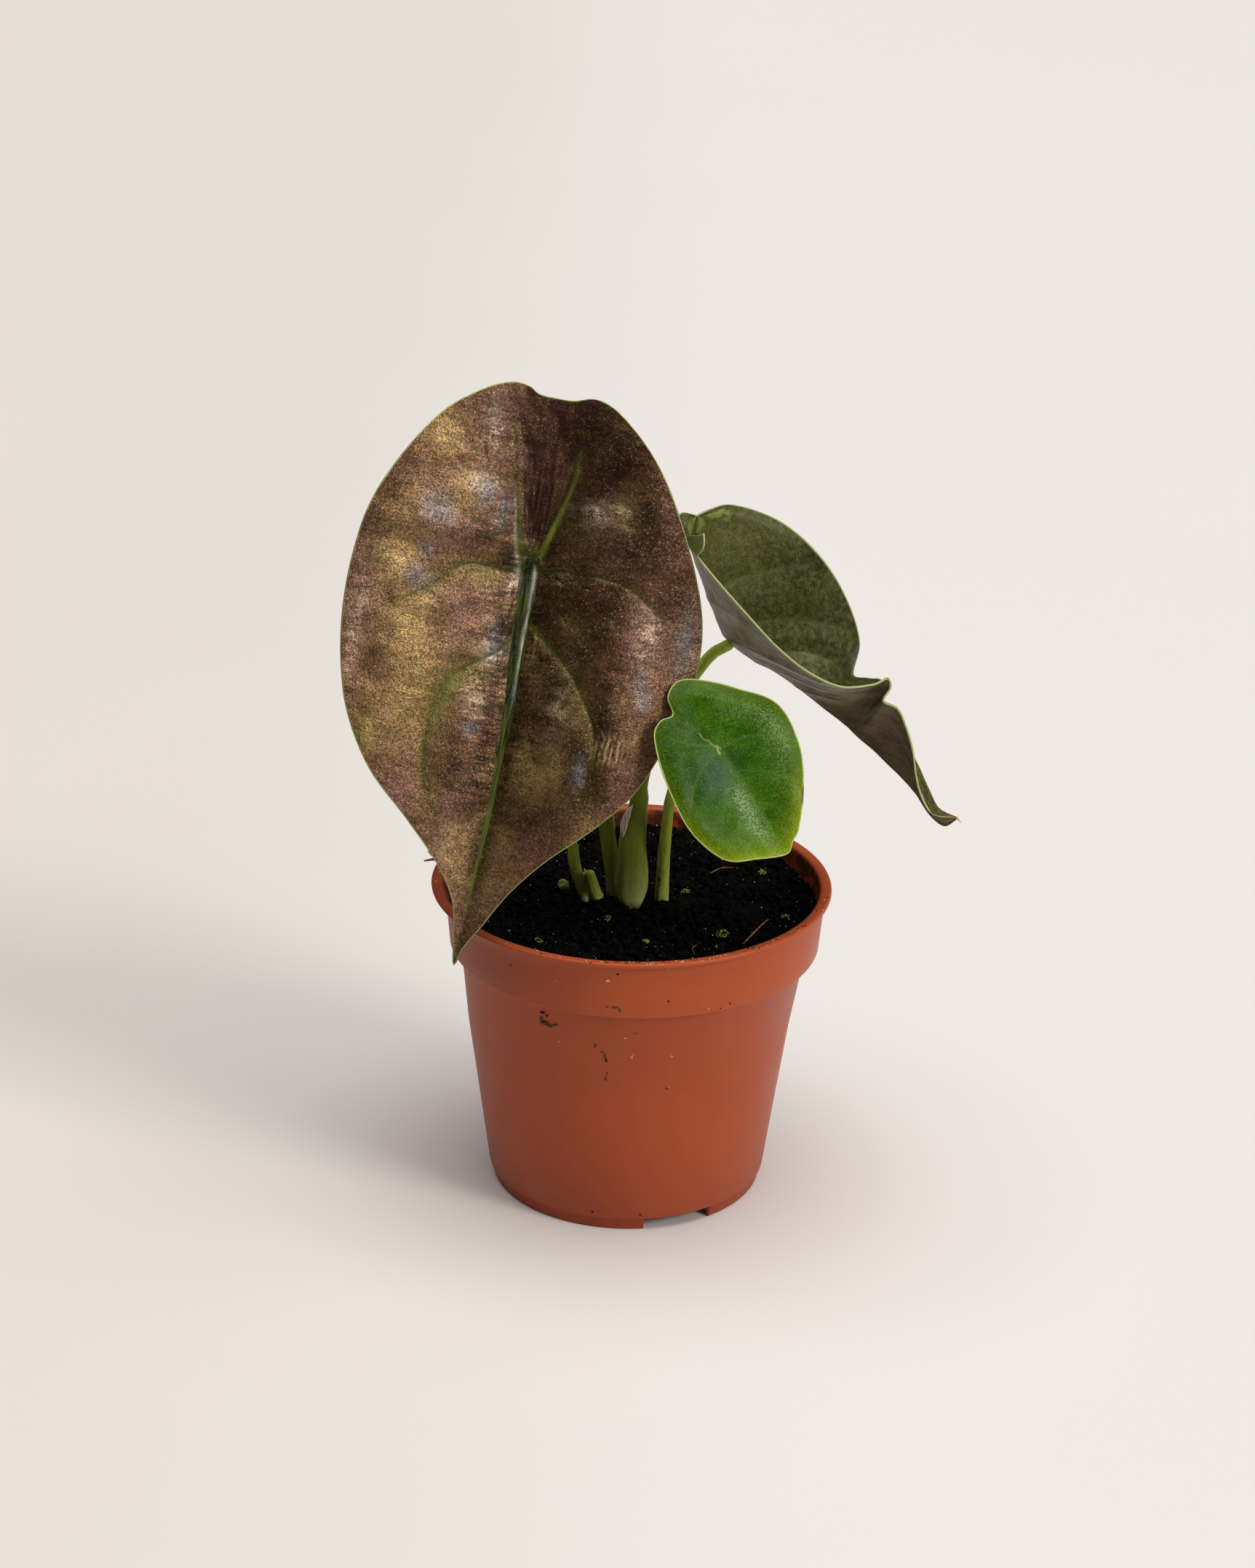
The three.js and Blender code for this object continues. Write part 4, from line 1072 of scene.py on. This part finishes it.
cutter = bmesh.new()
for k in range(DRAIN_HOLES):
    turn = Matrix.Rotation(2 * math.pi * k / DRAIN_HOLES, 4, "Z")
    bmesh.ops.create_cone(cutter, cap_ends=True, segments=32, radius1=DRAIN_RADIUS, radius2=DRAIN_RADIUS,
                          depth=8, matrix=turn @ Matrix.Translation((DRAIN_RING, 0, FLOOR_LEVEL)))
for k in range(NOTCHES):
    notch = spun(NOTCH_PROFILE, steps=12, angle=math.radians(NOTCH_WIDTH))
    bmesh.ops.holes_fill(notch, edges=notch.edges, sides=0)
    bmesh.ops.recalc_face_normals(notch, faces=notch.faces)
    notch.transform(Matrix.Rotation(math.radians(FIRST_NOTCH - NOTCH_WIDTH / 2 + 360 * k / NOTCHES), 4, "Z"))
    pour(cutter, notch)
print("the cutter has", len(cutter.faces), "faces")

# %% Cut the notches and the drain holes
wall, cuts = in_scene(pot, "wall"), in_scene(cutter, "cuts")
carve = wall.modifiers.new("cuts", "BOOLEAN")
carve.object, carve.operation, carve.solver = cuts, "DIFFERENCE", "EXACT"
bpy.context.view_layer.update()
pot = bmesh.new()
pot.from_mesh(wall.evaluated_get(bpy.context.evaluated_depsgraph_get()).to_mesh())
bpy.data.objects.remove(wall)
bpy.data.objects.remove(cuts)
print("the carved pot has", len(pot.faces), "faces")

# %% [markdown]
# The real collar sits slightly off the pot's axis, more to the right than to the left. The vertices of that
# band are moved sideways by a soft amount, and the peat's edge, its crumbs and the specks on the wall will
# follow it. The inner wall is marked too, because it carries dried peat.

# %% Set the collar off centre
COLLAR_SHIFT = 1.2
OUTER_WALL = [(4.4, 42.4), (76.2, 52.1), (77.5, 55.5), (94.4, 57.3), (95.2, 59.9), (96.4, 60)]


def collar_shift(level):
    """How far the collar is moved to the right at a height"""
    return COLLAR_SHIFT * np.clip((level - 73) / 4, 0, 1) * np.clip((96 - level) / 3, 0, 1)


inside = pot.verts.layers.float.new("inside")
for vert in pot.verts:
    radius, level = vert.co.xy.length, vert.co.z
    outer = np.interp(level, *zip(*OUTER_WALL))
    vert[inside] = float(radius < outer - 0.8 and 5.5 < level < 96)
    vert.co.x += collar_shift(level) * (radius > 50)
print("marked", sum(vert[inside] > 0 for vert in pot.verts), "vertices of the inner wall")

# %% [markdown]
# The plastic is a matt terracotta colour, a little cloudy and finely pored, with faint upright streaks. The
# collar is paler towards the light, and dried peat clings to the inner wall.

# %% The terracotta plastic finish
terracotta, tree, shader = material("terracotta_plastic", IOR=1.5, Specular_IOR_Level=0.22)
place = object_place()
across, _, height = add("SeparateXYZ", {"Vector": place}).outputs
streaks = noise_at(mapped(place, (240.0, 240.0, 14.0)), 1.0, 4.0)
clouds = noise_at(place, 38.0, 4.0, 0.6)
pores = noise_at(place, 1800.0)
tone = blend(stretch(clouds, 0.35, 0.65), srgb(158, 69, 33), srgb(163, 72, 35))
tone = coats(tone, (stretch(streaks, 0.45, 0.7), 0.2, (160, 74, 44)))
lit_collar = shaded(tone, stretch(across, -0.055, 0.0), (0.8, 0.8, 0.76), (1.14, 1.14, 1.08))
tone = blend(stretch(height, 0.0768, 0.0778), tone, lit_collar)
grime = times(attribute("inside").outputs["Fac"], stretch(noise_at(place, 160.0, 6.0, 0.7), 0.4, 0.56))
fill(shader, {"Base Color": coats(tone, (grime, 0.85, (54, 38, 28))),
              "Roughness": stretch(maths("ADD", clouds, pores), 0.7, 1.3, 0.36, 0.5),
              "Normal": bumped(pores, 0.25, 0.00006)})
hand_over(pot, "pot_wall", terracotta, ["pot"])

# %% [markdown]
# The peat
#
# The pot is filled with fine, moist, nearly black peat. A single body holds the mass of it: its side follows
# the wall, and its top is rough at two scales. The loose look comes from thousands of separate crumbs strewn
# on top. Each is a 20-faced ball, squashed and turned at random, because a shape used so often must stay
# light.

# %% The body of peat
PEAT_RADIUS = 55.5
PEAT_SIDE = [(55.2, 86), (54, 79.3), (50.4, 77), (41, 6.2), (39, 5.9), (20, 5.9), (0, 5.9)]
PEAT_SPOKES, TOP_RINGS = 420, 110


def peat_level(x, y):
    """The height of the peat's top in the pot"""
    return (88.4 + 2.4 * soft_step((y - 5) / 50) + 1.1 * np.exp(-(x * x + y * y) / 260)
            + 0.4 * np.sin(0.31 * x + 1) * np.sin(0.27 * y) + 0.3 * np.sin(0.61 * x - 0.43 * y))


def peat_follows(radius):
    """How much of the collar's shift the peat takes: nothing in the middle, all of it near the wall"""
    return np.clip((radius - 30) / 20, 0, 1)


peat_body, shares = sheet_grid(PEAT_SPOKES, TOP_RINGS + len(PEAT_SIDE))
ring = np.rint(shares[:, 1] * (TOP_RINGS + len(PEAT_SIDE))).astype(int)
turn = shares[:, 0] * 2 * math.pi
side_radius, side_level = np.array([(0, 0), *PEAT_SIDE])[np.maximum(ring - TOP_RINGS, 0)].T
radius = np.where(ring <= TOP_RINGS, PEAT_RADIUS * ring / TOP_RINGS, side_radius)
x, y = radius * np.cos(turn), radius * np.sin(turn)
flat = np.stack([x, y], axis=1)
rough = 0.9 * ripple(flat, 7, 3, 3.0) + 0.45 * ripple(flat, 1.6, 3, 8.0)
level = np.where(ring <= TOP_RINGS, peat_level(x, y) + rough, side_level)
x = x + collar_shift(level) * peat_follows(radius)
for vert, co in zip(peat_body.verts, np.stack([x, y, level], axis=1)):
    vert.co = co
bmesh.ops.remove_doubles(peat_body, verts=peat_body.verts, dist=MERGE)
bmesh.ops.recalc_face_normals(peat_body, faces=peat_body.faces)
print("the peat has", len(peat_body.faces), "faces")

# %% The peat finish
peat, tree, shader = material("moist_peat", IOR=1.4, Specular_IOR_Level=0.06)
place = object_place()
lumps = noise_at(place, 420.0, 6.0, 0.7)
fibre = noise_at(place, 1500.0, 3.0)
tone = blend(stretch(lumps, 0.38, 0.66), srgb(1, 1, 1), srgb(12, 10, 8))
fill(shader, {"Base Color": coats(tone, (stretch(fibre, 0.64, 0.74), 0.45, (72, 66, 56))),
              "Roughness": stretch(fibre, 0.3, 0.7, 0.5, 0.85),
              "Normal": bumped(maths("ADD", lumps, fibre), 0.8, 0.0004)})
hand_over(peat_body, "peat_fill", peat, ["potting_soil"])

# %% Strew the crumbs
dice = random.Random(7)
PEAT_GAP = 0.1


def strewn(hundreds, small, large, squash=0.55, reach=54.6, lift=0.3):
    """Hundreds of squashed little balls lying on the peat, made in lots because a small bmesh is quick"""
    bm = bmesh.new()
    for _ in range(hundreds):
        lot = bmesh.new()
        for _ in range(100):
            turn, far = dice.uniform(0, 2 * math.pi), reach * math.sqrt(dice.random())
            size = small + (large - small) * dice.random() ** 3
            far = min(far, PEAT_RADIUS - PEAT_GAP - size)
            x, y = far * math.cos(turn) + COLLAR_SHIFT * peat_follows(far), far * math.sin(turn)
            lie = Matrix.Translation((x, y, peat_level(x, y) + lift * dice.uniform(-0.6, 1.6)))
            tilt = Matrix.Rotation(dice.uniform(0, 6.3), 4, Vector([dice.gauss(0, 1) for _ in range(3)]))
            shape = Matrix.Diagonal((size, size * dice.uniform(squash, 1), size * dice.uniform(squash, 1), 1))
            bmesh.ops.create_icosphere(lot, subdivisions=1, radius=1, matrix=lie @ tilt @ shape)
        pour(bm, lot)
    return bm


hand_over(strewn(60, 0.35, 2.1), "peat_crumbs", peat, smooth=False)

# %% [markdown]
# Loose matter
#
# What makes the pot real is what lies about on it: moss between the crumbs, two straws and a hair-like root
# on the peat, a dry twig at the left rim, and dried splashes on the wall from the last watering. They are
# made as a few small pieces, apart from the pot and the peat. The splashes and crumbs on the plastic are
# flattened balls that sit on the wall, placed by their bearing and height, and a colour attribute gives each
# of them its own tint.

# %% The specks on the wall
WALL = [(4.4, 42.4), (28, 45.6), (52, 48.9), (76.2, 52.1), (77.5, 55.5), (78, 55.7), (84, 56.2), (90, 56.8),
        (94.4, 57.3), (95.1, 59.6), (96.4, 60)]
TINTS = {"pale": (200, 160, 120), "pink": (206, 130, 104), "dark": (44, 30, 18), "olive": (86, 70, 34),
         "brown": (100, 54, 32)}
# Each speck: bearing, height, half its width, half its height, tint.
WALL_SPECKS = [
    (-96.3, 89.7, 0.7, 0.5, "pale"), (-93.4, 92, 0.6, 0.25, "dark"), (-112, 87.3, 0.2, 0.2, "pale"),
    (-94.1, 81, 1.0, 0.4, "olive"), (-92.6, 80.2, 0.4, 0.8, "olive"), (-96.2, 81, 0.6, 0.25, "olive"),
    (-78.4, 83, 0.25, 0.35, "dark"), (-66, 79, 0.3, 0.25, "pale"),
    (-119, 73.6, 0.9, 0.35, "dark"), (-117.4, 73, 0.5, 0.3, "dark"), (-118.6, 70.2, 1.5, 0.55, "olive"),
    (-116.6, 69.6, 1.2, 0.45, "olive"), (-119.6, 71.4, 0.5, 0.6, "olive"), (-114.5, 70.4, 0.8, 0.25, "olive"),
    (-113.5, 65, 0.2, 0.25, "pale"), (-97.6, 62.3, 0.45, 0.9, "olive"), (-97.2, 61, 0.35, 0.8, "dark"),
    (-98.4, 63.6, 0.5, 0.4, "olive"), (-100.8, 65.6, 0.35, 0.7, "brown"), (-97.3, 54.6, 0.4, 0.9, "brown"),
    (-96.9, 56.4, 0.25, 0.7, "brown"), (-91, 68.9, 0.5, 0.35, "pink"), (-88.8, 62.4, 0.4, 0.6, "pink"),
    (-88.2, 63.2, 0.2, 0.3, "pink"), (-87.6, 70.6, 0.7, 0.15, "olive"), (-75.4, 62.2, 0.35, 0.5, "pink"),
    (-74.4, 71.4, 0.3, 0.3, "pink"), (-71.6, 65, 0.6, 0.35, "brown"), (-76.2, 51, 0.5, 0.4, "brown"),
    (-75.8, 51.2, 0.2, 0.2, "pale"), (-72.6, 73.6, 0.25, 0.7, "brown"), (-70.2, 73, 0.25, 0.7, "brown"),
    (-66.4, 68.7, 0.2, 0.25, "pink"), (-62, 78.4, 0.2, 0.3, "dark"), (-58.8, 79.4, 0.2, 0.4, "dark"),
    (-79, 94, 0.3, 0.2, "pale"), (-72, 57, 0.15, 0.15, "pink"), (-69, 57.5, 0.15, 0.15, "pink"),
    (-83.7, 5.8, 0.4, 0.3, "dark"), (-103, 6, 0.5, 0.35, "dark"), (-128, 88, 0.4, 0.25, "olive"),
    (160, 60, 0.8, 0.4, "olive"), (95, 70, 1.1, 0.5, "olive"), (70, 45, 0.5, 0.8, "brown"),
    (30, 66, 0.5, 0.4, "pale"), (-5, 58, 0.4, 0.5, "pink"), (128, 84, 0.6, 0.4, "dark"),
]
print("the wall carries", len(WALL_SPECKS), "specks")

# %% Stick specks to the wall and crumbs to the lip
SPECK_THICKNESS = 0.14
LIP_CRUMBS, LIP_LEVEL, LIP_INSIDE, LIP_OUTSIDE = 200, 96.35, 57.6, 59.7
specks = bmesh.new()
tint_layer = specks.verts.layers.float_color.new("tint")


def stuck(bearing, level, radius, wide, tall, thick, tint, fineness=2):
    """Adds one flattened ball that sits on the wall or the lip"""
    place = (Matrix.Rotation(math.radians(bearing), 4, "Z") @ Matrix.Translation((radius, 0, level))
             @ Matrix.Diagonal((thick, wide, tall, 1)))
    for vert in bmesh.ops.create_icosphere(specks, subdivisions=fineness, radius=1)["verts"]:
        bump = 1 + 0.45 * noise.noise(vert.co * 1.7 + Vector((bearing, level, 0)))
        vert.co = place @ (vert.co * bump)
        vert[tint_layer] = srgb(*TINTS[tint])


for bearing, level, wide_half, tall_half, tint in WALL_SPECKS:
    radius = np.interp(level, *zip(*WALL)) + collar_shift(level) * math.cos(math.radians(bearing))
    stuck(bearing, level, radius, wide_half, tall_half, SPECK_THICKNESS, tint)
for _ in range(LIP_CRUMBS):
    bearing = dice.uniform(0, 360) if dice.random() < 0.4 else dice.triangular(-125, -5, -70)
    size = 0.12 + 0.3 * dice.random() ** 2
    tint = dice.choice(["pale", "pale", "dark", "brown", "dark"])
    radius, wide = dice.uniform(LIP_INSIDE, LIP_OUTSIDE), size * dice.uniform(1, 1.8)
    stuck(bearing, LIP_LEVEL, radius, wide, size * 0.6, size, tint, fineness=1)
print("stuck", len(WALL_SPECKS) + LIP_CRUMBS, "specks to the pot")

# %% The finish of the specks
dried, tree, shader = material("dried_specks", Roughness=0.8, Specular_IOR_Level=0.2)
grit = noise_at(object_place(), 2600.0)
tone = shaded(attribute("tint").outputs["Color"], stretch(grit, 0.35, 0.65), (0.5, 0.5, 0.5), (1.3, 1.3, 1.3))
fill(shader, {"Base Color": tone, "Normal": bumped(grit, 0.5, 0.0002)})
hand_over(specks, "pot_specks", dried)

# %% [markdown]
# Moss, dry bits and the sheath's tip each have one noise that wanders between two colours, so one helper
# finishes them. Moss is a low cushion of tiny buds, strewn in a circle and piled up towards its middle.

# %% A finish of two colours
def two_tone(name, scale, detail, dark, light, stretched=(1.0, 1.0, 1.0), **sockets):
    """Starts a material and lets a noise wander between two colours"""
    global tree, shader
    made, tree, shader = material(name, **sockets)
    wandering = stretch(noise_at(mapped(object_place(), stretched), scale, detail), 0.35, 0.65)
    fill(shader, {"Base Color": blend(wandering, srgb(*dark), srgb(*light))})
    return made


green_moss = two_tone("green_moss", 900.0, 2.0, (56, 74, 12), (132, 148, 44), Roughness=0.6,
                      Specular_IOR_Level=0.2)
print("made", green_moss.name)

# %% Moss between the crumbs
# Each cushion: x, y, its radius, how many buds.
MOSS = [(27.1, -23, 2.1, 60), (16.4, 7, 1.4, 34), (4.6, -28.7, 1.2, 30), (-6.7, -13.8, 1.2, 26),
        (25.9, -30.7, 1, 16), (46, -9.1, 1.4, 18), (-38, 8, 1.8, 40), (-18, 38, 1.5, 34), (40, 22, 1.4, 30),
        (-27, -30, 1.1, 20)]
moss = bmesh.new()
for middle_x, middle_y, spread, buds in MOSS:
    cushion = bmesh.new()
    for _ in range(buds):
        turn, far = dice.uniform(0, 2 * math.pi), spread * math.sqrt(dice.random())
        x, y = middle_x + far * math.cos(turn), middle_y + far * math.sin(turn)
        rise = 0.5 + 0.8 * math.sqrt(spread * spread - far * far) * dice.uniform(0.7, 1)
        bud = Matrix.Diagonal([dice.uniform(0.2, 0.42) for _ in range(3)]).to_4x4()
        bmesh.ops.create_icosphere(cushion, subdivisions=1, radius=1,
                                   matrix=Matrix.Translation((x, y, peat_level(x, y) + rise)) @ bud)
    pour(moss, cushion)
hand_over(moss, "moss_tufts", green_moss)

# %% [markdown]
# Straws, the hair-like root and the twig are thin stalks too, so the helper that rolled the petioles makes
# them.

# %% Straws, root hair and twig
straw = two_tone("dry_straw", 700.0, 3.0, (72, 42, 28), (150, 104, 70), Roughness=0.7,
                 Specular_IOR_Level=0.25)
# Each dry bit: its points, its radii, how many steps.
DRY_BITS = [
    ([(32.9, -31.3, 90.4), (35.6, -26, 91), (38.4, -20.4, 91.4), (40.9, -15.1, 91.2)],
     [0.24, 0.26, 0.24, 0.16], 40),
    ([(18.8, -37.5, 89.6), (18.2, -34.6, 90.3), (19.5, -32, 90.2)], [0.1, 0.14, 0.1], 20),
    ([(-54.5, 14, 91.5), (-57.5, 12.5, 95.4), (-60, 11.5, 97.6), (-61.8, 11, 99.8)],
     [0.7, 0.65, 0.5, 0.3], 40),
    ([(-58.2, 12.2, 96.2), (-60.2, 9.6, 97.6), (-63, 8.2, 97.6)], [0.5, 0.45, 0.25], 24),
    ([(24, 20, 90.3), (28, 23, 90.9), (33, 24, 90.4)], [0.16, 0.2, 0.12], 40),
]
dry = bmesh.new()
for points, radii, steps in DRY_BITS:
    pour(dry, stalk(points, radii, steps, sides=12, uneven=0.08))
hand_over(dry, "dry_bits", straw)

# %% [markdown]
# Grains of wet grit glint among the crumbs. They are strewn as the crumbs are, only smaller and smoother.

# %% Damp grit
grit_stone, tree, shader = material("damp_grit", Roughness=0.22, Specular_IOR_Level=0.6)
shade = stretch(noise_at(object_place(), 300.0, 1.0), 0.4, 0.6)
fill(shader, {"Base Color": blend(shade, srgb(48, 44, 38), srgb(186, 182, 170))})
hand_over(strewn(8, 0.1, 0.34, lift=1.1), "peat_grit", grit_stone)

# %% [markdown]
# Cormels are the pale little lumps by the old stub, from which new shoots grow. Each is a ball with a soft
# dent.

# %% Pale cormels
# Each cormel: x, y, z, its radius.
CORMELS = [(-20.6, 4, 92.6, 1.6), (-13.2, 0.6, 97.2, 1.5), (-10.2, -1.9, 91.6, 1.7), (-13.6, -1.6, 90.9, 1.6)]
cormels = bmesh.new()
for *middle, radius in CORMELS:
    place = Matrix.Translation(middle)
    for vert in bmesh.ops.create_icosphere(cormels, subdivisions=3, radius=radius, matrix=place)["verts"]:
        vert.co += (vert.co - Vector(middle)) * 0.5 * noise.noise(vert.co * 0.7)
hand_over(cormels, "pale_cormels", green_stalk)

# %% [markdown]
# The sheath that once wrapped the folded leaf's stem has dried to a papery tip. It is a narrow sheet along a
# line, broad in the middle and slightly rolled, and its noise is drawn out upwards like the fibres of paper.

# %% The papery sheath tip
SHEATH_EDGE = [(-0.4, -4.2, 122.2), (-2, -4.7, 120.8), (-3.4, -4.9, 117.6), (-3.6, -4.8, 114.6),
               (-3, -4.5, 112)]
SHEATH_ROWS, SHEATH_BREADTH, PAPER_THICKNESS = 40, 2.3, 0.16
paper = two_tone("papery_sheath", 1.0, 3.0, (150, 136, 108), (224, 214, 192),
                 stretched=(2400.0, 2400.0, 160.0), Roughness=0.6, Specular_IOR_Level=0.2)
sheath, shares = sheet_grid(10, SHEATH_ROWS)
out, along = shares.T
edge = smooth_line(SHEATH_EDGE, SHEATH_ROWS)[np.rint(along * SHEATH_ROWS).astype(int)]
broad = np.sin(np.clip(along, 0.02, 0.98) * math.pi) ** 0.6
rolled = np.stack([SHEATH_BREADTH * out * broad, -0.9 * np.sin(out * 2.2) * broad, 0.5 * out], axis=1)
thicken(sheath, edge + rolled, {}, PAPER_THICKNESS)
hand_over(sheath, "papery_sheath_tip", paper)

# %% [markdown]
# The corm and its roots
#
# The rootstock lies inside the peat and nothing of it can be seen. It stays the plain CAD solid, and gets a
# material of its own for anyone who opens the pot.

# %% The root finish
root_finish, tree, shader = material("root_flesh", Roughness=0.75)
place = object_place()
rings = add("TexWave", {"Vector": place, "Scale": 120.0, "Distortion": 3.0},
            bands_direction="Z").outputs["Fac"]
tone = blend(noise_at(place, 200.0, 4.0), srgb(150, 124, 88), srgb(206, 188, 150))
fill(shader, {"Base Color": coats(tone, (rings, 0.35, (110, 84, 58))), "Normal": bumped(rings, 0.4, 0.0004)})
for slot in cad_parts["corm_and_roots"].material_slots:
    slot.material = root_finish
print("corm finished:", [slot.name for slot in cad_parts["corm_and_roots"].material_slots])

# %% [markdown]
# The floor, the camera and the light
#
# The plant stands on a plain pale floor that fills the whole picture, because the camera looks down at it.
# The camera was fitted to the pot's lip and foot. The light is that of a room with a large window at the
# front right: one sun is the window and gives the soft shadow to the back left, a wider and weaker one is the
# bright wall by it, and a third is the light from the ceiling. The world fills the rest a little.

# %% Lay the floor
FLOOR_HALF = 40
floor_bm = bmesh.new()
bmesh.ops.create_grid(floor_bm, x_segments=8, y_segments=8, size=FLOOR_HALF)
pale_floor, tree, shader = material("pale_floor", Roughness=0.8)
place = object_place()
from_left = add("SeparateXYZ", {"Vector": place}).outputs["X"]
# Painted shade: the floor darkens a little towards the left, where the broad shadow falls.
tone = blend(stretch(from_left, -0.2, 0.08), srgb(215, 209, 203), srgb(223, 219, 215))
fill(shader, {"Base Color": coats(tone, (noise_at(place, 3.0), 0.15, (236, 231, 226)))})
floor = in_scene(floor_bm, "floor", pale_floor)
print("the floor is", 2 * FLOOR_HALF, "m wide")

# %% Set the camera
SIGHT = Matrix(((0.99979, -0.02038, 0.0018), (0.00936, 0.37746, -0.92598), (0.01819, 0.92580, 0.37757)))
EYE = (0, -899.7, 494.3)
camera_data = bpy.data.cameras.new("camera")
camera_data.lens, camera_data.sensor_width, camera_data.clip_end = 75.14, 36, 30
camera = bpy.data.objects.new("camera", camera_data)
camera.matrix_world = Matrix.Translation(TO_FRAME @ Vector(EYE)) @ SIGHT.to_4x4()
bpy.context.scene.collection.objects.link(camera)
bpy.context.scene.camera = camera
print("the camera stands at", [round(value, 3) for value in camera.location])

# %% Light it
def sun(name, azimuth, elevation, strength, width, colour):
    """A sun whose light comes from the given bearing and height, in degrees"""
    light = bpy.data.lights.new(name, "SUN")
    light.energy, light.angle, light.color = strength, math.radians(width), colour
    lamp = bpy.data.objects.new(name, light)
    a, e = math.radians(azimuth), math.radians(elevation)
    source = Vector((math.cos(a) * math.cos(e), math.sin(a) * math.cos(e), math.sin(e)))
    lamp.rotation_euler = (-source).to_track_quat("-Z", "Y").to_euler()
    bpy.context.scene.collection.objects.link(lamp)


sun("window", -34, 29.5, 1.5, 20, (1.0, 0.985, 0.96))
sun("bright_wall", -20, 38, 0.42, 70, (1.0, 0.99, 0.98))
sun("ceiling", -30, 88, 2.46, 60, (1.0, 0.99, 0.985))
world = bpy.data.worlds.new("studio")
world.use_nodes = True
sky = world.node_tree.nodes["Background"]
sky.inputs["Color"].default_value, sky.inputs["Strength"].default_value = (1.0, 0.98, 0.97, 1), 0.07
bpy.context.scene.world = world
bpy.context.scene.view_settings.view_transform = "Standard"
print("three suns and a soft world")
